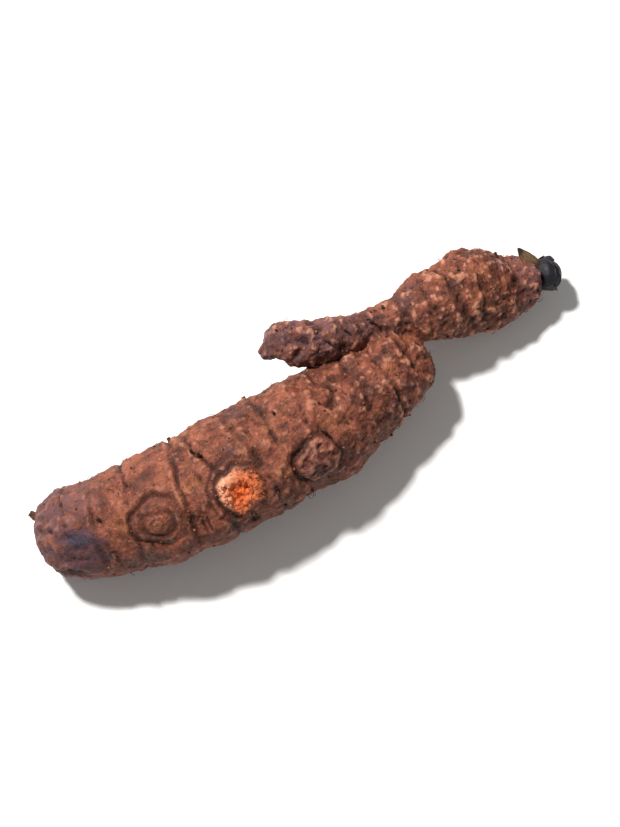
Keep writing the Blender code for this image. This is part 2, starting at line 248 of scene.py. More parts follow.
def finish_piece(
    obj: bpy.types.Object, material: bpy.types.Material | None = None
) -> bpy.types.Object:
    """Shade a piece smooth, give it its material and let it ride on the root.

    Args:
        obj: The finished piece, with its place in its mesh.
        material: Its material, or None where the mesh has it already.

    Returns:
        The same object.
    """
    if material is not None:
        obj.data.materials.clear()
        obj.data.materials.append(material)
    obj.data.shade_smooth()
    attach(obj, Body.ROOT.value)
    return obj


@dataclass(frozen=True)
class Pattern:
    """A material's noise: its lumps' size, its finer layers and how strong they are.

    Its stretch maps it to a share, its stops to a colour, and its scale draws it out along an axis.
    """

    size: float
    detail: float = 4.0
    roughness: float = 0.55
    stretch: Stretch = (0.0, 1.0)
    stops: Stops = ()
    scale: Point = (1.0, 1.0, 1.0)


@dataclass(frozen=True)
class Tint:
    """A colour that lies where a named attribute says, broken up by a pattern."""

    name: str
    colour: Colour
    pattern: Pattern


class NodeSheet:
    """Short calls for adding and wiring the nodes of one tree."""

    tree: bpy.types.NodeTree

    def add(
        self,
        kind: str,
        inputs: dict[str | int, object] | None = None,
        out: str | int = 0,
        **settings: object,
    ) -> Socket:
        """Add a node, set its properties and feed its inputs.

        Args:
            kind: Blender's name for the kind of node.
            inputs: A socket to link or a plain value for each input.
            out: The output that is wanted.
            settings: The node's properties.

        Returns:
            The wanted output.
        """
        node = self.tree.nodes.new(kind)
        for key, value in settings.items():
            setattr(node, key, value)
        for key, value in (inputs or {}).items():
            if isinstance(value, Socket):
                self.tree.links.new(value, node.inputs[key])
            else:
                node.inputs[key].default_value = value
        return node.outputs[out]

    def math(self, operation: str, *values: Socket | float) -> Socket:
        """Combine numbers or sockets."""
        return self.add("ShaderNodeMath", dict(enumerate(values)), operation=operation)


class Sheet(NodeSheet):
    """The shader tree of one material."""

    def __init__(self, name: str) -> None:
        """Start a material with an empty tree.

        Args:
            name: The material's name.
        """
        self.material = bpy.data.materials.new(name)
        self.material.use_nodes = True
        self.tree = self.material.node_tree
        self.tree.nodes.clear()
        self.coordinates = self.add("ShaderNodeTexCoord", out="Object")

    def attribute(self, name: str) -> Socket:
        """Read one of the mesh's named attributes."""
        return self.add("ShaderNodeAttribute", out="Fac", attribute_name=name)

    def noise(self, pattern: Pattern) -> Socket:
        """Add a pattern's plain noise, from nought to one.

        Args:
            pattern: The pattern.

        Returns:
            The noise's value.
        """
        place = self.add("ShaderNodeMapping", {"Vector": self.coordinates, "Scale": pattern.scale})
        return self.add("ShaderNodeTexNoise", {
            "Vector": place,
            "Scale": 1.0 / pattern.size,
            "Detail": pattern.detail,
            "Roughness": pattern.roughness,
        }, "Fac", noise_dimensions="3D")

    def span(
        self, value: Socket, low: float, high: float, least: float = 0.0, most: float = 1.0
    ) -> Socket:
        """Map a stretch of a value smoothly onto another, and hold it at the ends.

        Args:
            value: The socket to map.
            low: The value that gives the least.
            high: The value that gives the most.
            least: The result at and past low.
            most: The result at and past high.

        Returns:
            The mapped value.
        """
        return self.add("ShaderNodeMapRange", {
            "Value": value,
            "From Min": low,
            "From Max": high,
            "To Min": least,
            "To Max": most,
        }, "Result", interpolation_type="SMOOTHSTEP")

    def ramp(self, value: Socket, stops: Stops) -> Socket:
        """Turn a value into a colour by a row of stops.

        Args:
            value: The socket to colour.
            stops: Each stop's place and colour.

        Returns:
            The colour.
        """
        colour = self.add("ShaderNodeValToRGB", {"Fac": value}, "Color")
        elements = colour.node.color_ramp.elements
        while len(elements) < len(stops):
            elements.new(0.5)
        for element, (place, shade) in zip(elements, stops):
            element.position = place
            element.color = shade
        return colour

    def patches(self, pattern: Pattern) -> Socket:
        """Add a pattern's noise, mapped by its stretch."""
        return self.span(self.noise(pattern), *pattern.stretch)

    def shades(self, pattern: Pattern) -> Socket:
        """Add a pattern's noise, coloured by its stops."""
        return self.ramp(self.noise(pattern), pattern.stops)

    def sway(self, pattern: Pattern, height: float) -> Socket:
        """Add a pattern's noise as a swing round nought."""
        return self.math("MULTIPLY", self.math("SUBTRACT", self.noise(pattern), 0.5), height)

    def mix(
        self, share: Socket | float, first: Socket, second: Socket | Colour, blend: str = "MIX"
    ) -> Socket:
        """Mix two colours by a share."""
        inputs = {0: share, 6: first, 7: second}
        return self.add("ShaderNodeMix", inputs, 2, data_type="RGBA", blend_type=blend)

    def tint(self, colour: Socket, tint: Tint) -> Socket:
        """Lay a tint over a colour."""
        share = self.math("MULTIPLY", self.attribute(tint.name), self.patches(tint.pattern))
        return self.mix(share, colour, tint.colour)

    def bump(
        self, height: Socket, depth: float, strength: float = 1.0, under: Socket | None = None
    ) -> Socket:
        """Add a bump, on top of another bump where one is given.

        Args:
            height: The pattern that is raised.
            depth: How high it is raised.
            strength: How much it counts.
            under: The bumped normal that it stands on.

        Returns:
            The new normal.
        """
        inputs = {"Height": height, "Distance": depth, "Strength": strength}
        if under is not None:
            inputs["Normal"] = under
        return self.add("ShaderNodeBump", inputs)

    def surface(
        self,
        colour: Socket | Colour,
        roughness: Socket | float,
        normal: Socket | None = None,
        **plain: float,
    ) -> bpy.types.Material:
        """Close the tree with one principled surface.

        Args:
            colour: The base colour.
            roughness: The roughness.
            normal: The bumped normal, where there is one.
            plain: Other inputs' values, with underscores for spaces.

        Returns:
            The finished material.
        """
        inputs = {"Base Color": colour, "Roughness": roughness}
        inputs.update((key.replace("_", " "), value) for key, value in plain.items())
        if normal is not None:
            inputs["Normal"] = normal
        shader = self.add("ShaderNodeBsdfPrincipled", inputs)
        output = self.tree.nodes.new("ShaderNodeOutputMaterial")
        self.tree.links.new(shader, output.inputs["Surface"])
        return self.material


@dataclass(frozen=True)
class FleshFinish:
    """Torn turmeric flesh: a bright heart in a deep ring, orange round it, and a pink painted
    highlight on the side towards the key light.
    """

    deep: Colour = srgb(178, 62, 24)
    highlight_pink: Colour = srgb(238, 172, 140)
    # From the scar's middle out: the bright heart, the deep ring, orange, salmon and the rim.
    rings: Stops = (
        (0.15, srgb(244, 128, 52)),
        (0.21, deep),
        (0.26, deep),
        (0.34, srgb(212, 102, 48)),
        (0.72, srgb(218, 124, 76)),
        (0.95, srgb(84, 38, 22)),
    )
    fibres: Pattern = Pattern(0.8 * MM, 5.0)
    fibre_sway: float = 0.5
    side_sway: float = 3.0
    highlight_out: Stretch = (0.40, 0.70, 0.0, 0.95)
    highlight_side: Stretch = (0.0, 0.9)
    strands: Pattern = Pattern(
        0.45 * MM, 5.0, 0.65, stops=((0.34, srgb(206, 176, 160)), (0.58, WHITE))
    )
    strand_share: float = 0.8
    specks: Pattern = Pattern(0.7 * MM, 2.0, 0.5, (0.60, 0.70, 0.0, 0.75))
    tones: Stops = ((0.0, srgb(170, 150, 140)), (1.0, WHITE))
    grain: Pattern = Pattern(0.2 * MM)
    grain_depth: float = 0.06 * MM

    def colour(self, sheet: Sheet) -> Socket:
        """Colour the flesh by its place in the scar.

        Args:
            sheet: The material's tree.

        Returns:
            The colour.
        """
        fibre = sheet.sway(self.fibres, self.fibre_sway)
        out = sheet.math("ADD", sheet.attribute("flesh_ring"), fibre)
        torn = sheet.math("MULTIPLY", fibre, self.side_sway)
        side = sheet.math("ADD", sheet.attribute("flesh_side"), torn)
        # The pink is a painted highlight on the flesh's outer part, on the side towards the key
        # light.
        spans = sheet.span(out, *self.highlight_out), sheet.span(side, *self.highlight_side)
        colour = sheet.mix(sheet.math("MULTIPLY", *spans), sheet.ramp(out, self.rings), self.highlight_pink)
        colour = sheet.mix(self.strand_share, colour, sheet.shades(self.strands), "MULTIPLY")
        return sheet.mix(sheet.patches(self.specks), colour, self.deep)

    def material(self) -> bpy.types.Material:
        """Build the loose flesh's material, each shred with its own tone."""
        sheet = Sheet("torn_flesh")
        tone = sheet.ramp(sheet.attribute("tone"), self.tones)
        return sheet.surface(
            sheet.mix(1.0, self.colour(sheet), tone, "MULTIPLY"),
            0.5,
            sheet.bump(sheet.noise(self.grain), self.grain_depth),
            Specular_IOR_Level=0.45,
            Subsurface_Weight=0.15,
            Subsurface_Scale=0.8 * MM,
        )


@dataclass(frozen=True)
class SkinFinish:
    """Dry, soil-dusted turmeric skin: rosy brown, with painted highlight on its ridges, painted
    shade in its hollows and creases, and dark lines in its rings.
    """

    mauve: Colour = srgb(118, 74, 68)
    brown: Colour = srgb(126, 72, 50)
    rosy: Colour = srgb(168, 98, 77)
    tan: Colour = srgb(160, 98, 66)
    # Soil's colour, which also lays painted shade on the undersides and front flanks.
    soil_and_shade: Colour = srgb(84, 44, 28)
    plum: Colour = srgb(92, 48, 48)
    deep: Colour = srgb(38, 17, 11)
    # Painted shade, laid in the skin's hollows and dales.
    pale_highlight: Colour = srgb(204, 140, 112)
    # Pale painted highlight, on the rough ridges and as glints in the flecks.
    dusk: Colour = srgb(52, 46, 60)
    dusk_edge: Colour = srgb(78, 52, 60)
    flesh: FleshFinish = FleshFinish()
    ground: Pattern = Pattern(
        6.0 * MM, 5.0, 0.6, stops=((0.36, mauve), (0.45, brown), (0.55, rosy), (0.64, tan))
    )
    plum_patches: Pattern = Pattern(2.6 * MM, 4.0, 0.6, (0.50, 0.66, 0.0, 0.5))
    soil_patches: Pattern = Pattern(1.7 * MM, 6.0, 0.65, (0.51, 0.66, 0.0, 0.65))
    fine: Pattern = Pattern(0.55 * MM, 6.0, 0.7, stops=(
        (0.28, srgb(156, 146, 142)),
        (0.50, srgb(220, 216, 212)),
        (0.70, srgb(255, 250, 246)),
    ))
    fine_share: float = 0.9
    # Pale flecks, partly soil grains and partly painted glints.
    grain_and_glint_flecks: Pattern = Pattern(0.6 * MM, 2.0, 0.5, (0.66, 0.72, 0.0, 0.4))
    clouds: Pattern = Pattern(3.2 * MM, 2.0, 0.5, stops=(
        (0.32, srgb(196, 184, 184)),
        (0.50, srgb(240, 236, 234)),
        (0.64, WHITE),
    ))
    cool_tint: Tint = Tint(
        "cool", srgb(100, 68, 70), Pattern(2.2 * MM, 5.0, 0.6, (0.38, 0.58, 0.25, 0.9))
    )
    # Painted shade in soil colour on the undersides and front flanks, broken up in patches.
    painted_shade_tint: Tint = Tint("painted_shade", soil_and_shade, Pattern(2.2 * MM, 5.0, 0.6, (0.62, 0.4, 0.35, 0.8)))
    knob_tint: Tint = Tint("knob", plum, Pattern(1.4 * MM, stretch=(0.40, 0.60, 0.05, 0.55)))
    # Dark lines: each ring's own line, and painted shade in creases, scar rims and the tip's
    # wrinkles.
    line_and_shade_tint: Tint = Tint(
        "ring", srgb(58, 25, 16), Pattern(1.1 * MM, stretch=(0.30, 0.55, 0.45, 0.95))
    )
    # Tan on the closed scars' cores, and on the glint spot as painted highlight.
    disc_and_glint_tint: Tint = Tint("disc", tan, Pattern(0.7 * MM, stretch=(0.46, 0.66, 0.0, 0.4)))
    ridge_highlight_stretch: Stretch = (0.42, 0.08, 0.0, 0.60)
    hollow_shade_stretch: Stretch = (0.60, 0.98, 0.0, 0.78)
    dale_shade_stretch: Stretch = (0.55, 0.9, 0.0, 0.24)
    dusk_rags: Pattern = Pattern(2.0 * MM, 5.0)
    dusk_sway: float = 0.9
    dusk_edge_stretch: Stretch = (0.25, 0.55, 0.0, 0.75)
    dusk_stretch: Stretch = (0.62, 0.92, 0.0, 0.85)
    gloss: Pattern = Pattern(0.8 * MM, 5.0, stretch=(0.35, 0.65, 0.45, 0.85))
    coarse: Pattern = Pattern(0.9 * MM, 8.0, 0.7)
    coarse_depth: float = 0.32 * MM
    crack_size: float = 0.8 * MM
    crack_width: float = 0.16
    crack_depth: float = 0.07 * MM

    def material(self) -> bpy.types.Material:
        """Build the skin's material."""
        sheet = Sheet("turmeric_skin")
        colour = self.marks(sheet, self.hollows(sheet, self.mottle(sheet)))
        return sheet.surface(
            colour, sheet.patches(self.gloss), self.grain(sheet), Specular_IOR_Level=0.28
        )

    def mottle(self, sheet: Sheet) -> Socket:
        """Lay the skin's own colours in patches, pale flecks that are partly painted glints, mauve
        in places, and painted shade in soil colour on its undersides and front flanks.

        Args:
            sheet: The material's tree.

        Returns:
            The colour.
        """
        colour = sheet.shades(self.ground)
        colour = sheet.mix(sheet.patches(self.plum_patches), colour, self.plum)
        colour = sheet.mix(sheet.patches(self.soil_patches), colour, self.soil_and_shade)
        colour = sheet.mix(self.fine_share, colour, sheet.shades(self.fine), "MULTIPLY")
        colour = sheet.mix(sheet.patches(self.grain_and_glint_flecks), colour, self.pale_highlight)
        colour = sheet.mix(1.0, colour, sheet.shades(self.clouds), "MULTIPLY")
        # The last tint is painted shade on the undersides and front flanks.
        return sheet.tint(sheet.tint(colour, self.cool_tint), self.painted_shade_tint)

    def hollows(self, sheet: Sheet, colour: Socket) -> Socket:
        """Paint shade into the hollows and dales, paint highlight on the raised ridges, and darken
        the rings' lines, which carry painted shade in creases and scar rims too.

        Args:
            sheet: The material's tree.
            colour: The skin's own colour.

        Returns:
            The colour.
        """
        hollow, dale, rough = map(sheet.attribute, ("hollow", "dale", "rough"))
        # The raised ridges of the rough skin are lightened: painted highlight.
        ridge_highlight = sheet.math("MULTIPLY", sheet.span(hollow, *self.ridge_highlight_stretch), rough)
        colour = sheet.tint(sheet.mix(ridge_highlight, colour, self.pale_highlight), self.knob_tint)
        # Painted shade in the hollows and in the broad dales.
        colour = sheet.mix(sheet.span(hollow, *self.hollow_shade_stretch), colour, self.deep)
        colour = sheet.mix(sheet.span(dale, *self.dale_shade_stretch), colour, self.deep)
        return sheet.tint(colour, self.line_and_shade_tint)

    def marks(self, sheet: Sheet, colour: Socket) -> Socket:
        """Colour the dusky patch under the tip, the closed scars and the broken scar's flesh.

        Args:
            sheet: The material's tree.
            colour: The colour of the skin round them.

        Returns:
            The colour.
        """
        rags = sheet.sway(self.dusk_rags, self.dusk_sway)
        ragged = sheet.math("ADD", sheet.attribute("dusk"), rags)
        colour = sheet.mix(sheet.span(ragged, *self.dusk_edge_stretch), colour, self.dusk_edge)
        colour = sheet.mix(sheet.span(ragged, *self.dusk_stretch), colour, self.dusk)
        colour = sheet.tint(colour, self.disc_and_glint_tint)
        return sheet.mix(sheet.attribute("flesh"), colour, self.flesh.colour(sheet))

    def grain(self, sheet: Sheet) -> Socket:
        """Raise the finest grain, which is smaller than the mesh's own relief.

        Args:
            sheet: The material's tree.

        Returns:
            The bumped normal.
        """
        coarse = sheet.bump(sheet.noise(self.coarse), self.coarse_depth, 0.8)
        cells = sheet.add("ShaderNodeTexVoronoi", {
            "Vector": sheet.coordinates,
            "Scale": 1.0 / self.crack_size,
        }, "Distance", feature="DISTANCE_TO_EDGE")
        return sheet.bump(sheet.span(cells, 0.0, self.crack_width), self.crack_depth, 0.7, coarse)


@dataclass(frozen=True)
class CrumbFinish:
    """Dry soil in crumbs and dust, each crumb with its own tone."""

    tones: Stops = ((0.0, srgb(58, 31, 21)), (0.55, srgb(108, 64, 46)), (0.9, srgb(176, 120, 94)))
    mottle: Pattern = Pattern(
        0.25 * MM, stops=((0.3, srgb(150, 150, 150)), (0.7, srgb(255, 250, 245)))
    )
    grain: Pattern = Pattern(0.2 * MM)
    grain_depth: float = 0.08 * MM

    def material(self) -> bpy.types.Material:
        """Build the crumbs' material."""
        sheet = Sheet("dry_soil")
        tone = sheet.ramp(sheet.attribute("tone"), self.tones)
        colour = sheet.mix(1.0, tone, sheet.shades(self.mottle), "MULTIPLY")
        normal = sheet.bump(sheet.noise(self.grain), self.grain_depth)
        return sheet.surface(colour, 0.92, normal, Specular_IOR_Level=0.2)


@dataclass(frozen=True)
class StubFinish:
    """Dead root stubs and hairs, dark brown and lighter in patches."""

    mottle: Pattern = Pattern(
        0.6 * MM, 5.0, stops=((0.35, srgb(40, 25, 19)), (0.7, srgb(104, 64, 48)))
    )
    grain: Pattern = Pattern(0.3 * MM)
    grain_depth: float = 0.06 * MM

    def material(self) -> bpy.types.Material:
        """Build the stubs' material."""
        sheet = Sheet("dead_rootlets")
        normal = sheet.bump(sheet.noise(self.grain), self.grain_depth)
        return sheet.surface(sheet.shades(self.mottle), 0.82, normal, Specular_IOR_Level=0.3)


@dataclass(frozen=True)
class BudFinish:
    """Dried bud scales, nearly black with a blue cast and worn brown edges."""

    worn: Colour = srgb(62, 44, 44)
    mottle: Pattern = Pattern(
        1.4 * MM, 5.0, 0.6, stops=((0.35, srgb(13, 10, 13)), (0.7, srgb(20, 20, 36)))
    )
    wear: Pattern = Pattern(0.5 * MM)
    wear_stretch: Stretch = (0.25, 0.6)
    ribs: Pattern = Pattern(0.35 * MM, 4.0, 0.6, scale=(0.25, 1.0, 1.0))
    rib_depth: float = 0.12 * MM

    def material(self) -> bpy.types.Material:
        """Build the bud's material."""
        sheet = Sheet("dark_bud_scales")
        edge = sheet.math("MULTIPLY", sheet.attribute("edge"), sheet.noise(self.wear))
        edge = sheet.span(edge, *self.wear_stretch)
        colour = sheet.mix(edge, sheet.shades(self.mottle), self.worn)
        ribs = sheet.bump(sheet.noise(self.ribs), self.rib_depth)
        return sheet.surface(colour, 0.55, ribs, Specular_IOR_Level=0.35)


@dataclass(frozen=True)
class ShootFinish:
    """A dry pointed scale: tan with a green cast, ribbed, dark at its tip and brown at its base."""

    base: Colour = srgb(82, 50, 36)
    tip: Colour = srgb(30, 22, 18)
    mottle: Pattern = Pattern(
        1.1 * MM, 5.0, 0.6, stops=((0.35, srgb(86, 70, 46)), (0.65, srgb(120, 92, 60)))
    )
    streak_stretch: Stretch = (-0.2, 0.9, 0.0, 0.45)
    base_stretch: Stretch = (0.34, 0.12)
    rags: Pattern = Pattern(0.8 * MM)
    rag_sway: float = 0.3
    tip_stretch: Stretch = (0.74, 0.88)
    grain: Pattern = Pattern(0.3 * MM, 5.0)
    grain_depth: float = 0.06 * MM

    def material(self) -> bpy.types.Material:
        """Build the shoot's material."""
        sheet = Sheet("dry_shoot_scale")
        rise = sheet.attribute("rise")
        streaks = sheet.span(sheet.attribute("rib"), *self.streak_stretch)
        colour = sheet.mix(streaks, sheet.shades(self.mottle), self.base)
        colour = sheet.mix(sheet.span(rise, *self.base_stretch), colour, self.base)
        torn = sheet.math("ADD", rise, sheet.sway(self.rags, self.rag_sway))
        colour = sheet.mix(sheet.span(torn, *self.tip_stretch), colour, self.tip)
        normal = sheet.bump(sheet.noise(self.grain), self.grain_depth)
        return sheet.surface(colour, 0.6, normal, Specular_IOR_Level=0.4)


@dataclass(frozen=True)
class FloorFinish:
    """Plain pale paper under the root."""

    white: Colour = srgb(246, 246, 246)

    def material(self) -> bpy.types.Material:
        """Build the floor's material."""
        return Sheet("pale_floor").surface(self.white, 0.85, Specular_IOR_Level=0.2)


@dataclass
class Finger:
    """One finger: its spine's stations, the rings that cross it, and how rough its skin is.

    A station is x, y, z and the radius there, in millimetres.  A ring is the x where it crosses
    the finger's top and how far it leans, in millimetres, and its share of the full depth.
    """

    stations: tuple[tuple[float, float, float, float], ...]
    rings: tuple[Point, ...]
    roughness: tuple[float, float]
    spacing: float = 1.0 * MM
    block: int = 4000

    def __post_init__(self) -> None:
        """Sample the spine closely and place the rings along it."""
        path = self.smooth_path()
        self.points: Array = path[:, :3]
        self.radii: Array = path[:, 3]
        self.tangents: Array = unit_rows(np.gradient(self.points, axis=0))
        self.sides: Array = unit_rows(np.cross((0.0, 0.0, 1.0), self.tangents))
        self.ups: Array = np.cross(self.tangents, self.sides)
        steps = np.linalg.norm(np.diff(self.points, axis=0), axis=1)
        self.arc: Array = np.concatenate(((0.0,), np.cumsum(steps)))
        tops, leans, depths = np.array(self.rings).T
        self.ring_arcs: Array = np.interp(tops * MM, self.points[:, 0], self.arc)
        self.ring_leans: Array = leans * MM
        self.ring_depths: Array = depths

    def smooth_path(self) -> Array:
        """Run a smooth curve through the stations.

        Returns:
            Closely spaced rows of x, y, z and radius.
        """
        rows = np.array(self.stations) * MM
        padded = np.vstack((2 * rows[0] - rows[1], rows, 2 * rows[-1] - rows[-2]))
        samples = []
        for before, start, end, after in zip(padded, padded[1:], padded[2:], padded[3:]):
            steps = max(2, round(np.linalg.norm(end[:3] - start[:3]) / self.spacing))
            for t in np.arange(steps) / steps:
                samples.append(0.5 * (
                    2 * start
                    + (end - before) * t
                    + (2 * before - 5 * start + 4 * end - after) * t ** 2
                    + (3 * start - 3 * end + after - before) * t ** 3
                ))
        return np.array([*samples, rows[-1]])

    def coordinates(self, places: Array) -> tuple[Array, Array, Array]:
        """Work out where each point lies on the finger.

        Args:
            places: The skin's points.

        Returns:
            Each point's reach (distance over radius), arc length and angle from the top.
        """
        nearest = np.empty(len(places), dtype=int)
        for start in range(0, len(places), self.block):
            offsets = places[start:start + self.block, None, :] - self.points[None, :, :]
            nearest[start:start + self.block] = np.argmin(np.sum(offsets ** 2, axis=2), axis=1)
        offset = places - self.points[nearest]
        reach = np.linalg.norm(offset, axis=1) / self.radii[nearest]
        forward, sideways, upwards = (
            np.sum(offset * axes[nearest], axis=1) for axes in (self.tangents, self.sides, self.ups)
        )
        return reach, self.arc[nearest] + forward, np.arctan2(sideways, upwards)

    def facing(self, index: int, angle: float) -> Array:
        """Return the direction out of the finger at that sample and angle, in radians."""
        return math.sin(angle) * self.sides[index] + math.cos(angle) * self.ups[index]


@dataclass(frozen=True)
class ScarForm:
    """How a kind of scar is raised and sunk, in millimetres, and its core's share of its radius."""

    disc: float = 0.0
    dome: float = 0.0
    groove: float = 0.0
    inner_groove: float = 0.0
    core: float = 0.0
    core_share: float = 0.4
    one_sided: bool = False
    ripple: float = 0.0
    torn: float = 0.0
    outer_groove: float = 0.0


class ScarKind(Enum):
    """The kinds of round mark on the root."""

    CLOSED = ScarForm(
        disc=0.35, groove=0.60, inner_groove=0.40, core=0.30, core_share=0.25, ripple=0.08
    )
    BROKEN = ScarForm(
        disc=0.55, groove=0.60, core=-0.80, core_share=0.45, torn=0.42, outer_groove=0.24
    )
    KNOB = ScarForm(dome=1.25, groove=0.60)
    CRESCENT = ScarForm(groove=0.60, one_sided=True)


@dataclass(frozen=True)
class Scar:
    """A round mark on the thick finger: x and radius in millimetres, angle from the top to +Y."""

    x: float
    angle: float
    radius: float
    kind: ScarKind

    def place(self, finger: Finger) -> tuple[Array, Array]:
        """Find the scar's place on a finger.

        Args:
            finger: The finger that it lies on.

        Returns:
            Its centre on the finger's surface and the direction it faces.
        """
        index = int(np.argmin(np.abs(finger.points[:, 0] - self.x * MM)))
        facing = finger.facing(index, math.radians(self.angle))
        return finger.points[index] + finger.radii[index] * facing, facing


@dataclass(frozen=True)
class Spot:
    """A long soft spot on the skin: its middle, half length and half width, in millimetres."""

    middle: Point
    half_length: float
    half_width: float
    way: Point = (0.906, -0.423, 0.0)
    softness: float = 0.3

    def at(self, places: Array) -> Array:
        """Work out the spot's mask.

        Args:
            places: The skin's points.

        Returns:
            One inside the spot, falling smoothly to nought outside it.
        """
        offset = places / MM - np.array(self.middle)
        along = offset @ np.array(self.way)
        across = np.sqrt(np.maximum(np.sum(offset ** 2, axis=1) - along ** 2, 0.0))
        spread = np.hypot(along / self.half_length, across / self.half_width)
        return falloff(spread, 1.0, self.softness)


@dataclass(frozen=True)
class Fold:
    """A short crease across a finger: its middle, the way it faces, its reach and its depth."""

    middle: Point
    way: Point
    reach: float
    depth: float
    width: float = 1.2
    softness: float = 0.12

    def at(self, places: Array, sway: Array) -> Array:
        """Work out the crease's mask.

        Args:
            places: The skin's points.
            sway: Noise that makes the crease wander.

        Returns:
            One in the crease, falling to nought beside it and past its ends.
        """
        offset = places / MM - np.array(self.middle)
        distance = np.linalg.norm(offset, axis=1)
        inside = falloff(distance, self.reach, self.softness * self.reach)
        return inside * bell(offset @ np.array(self.way) + sway, self.width)


@dataclass
class Unrest:
    """The noise at each point of the skin, and how unbroken the skin's lines are there."""

    knobs: Array
    pits: Array
    wander: Array
    torn: Array
    clods: Array
    pebbles: Array
    whole: Array


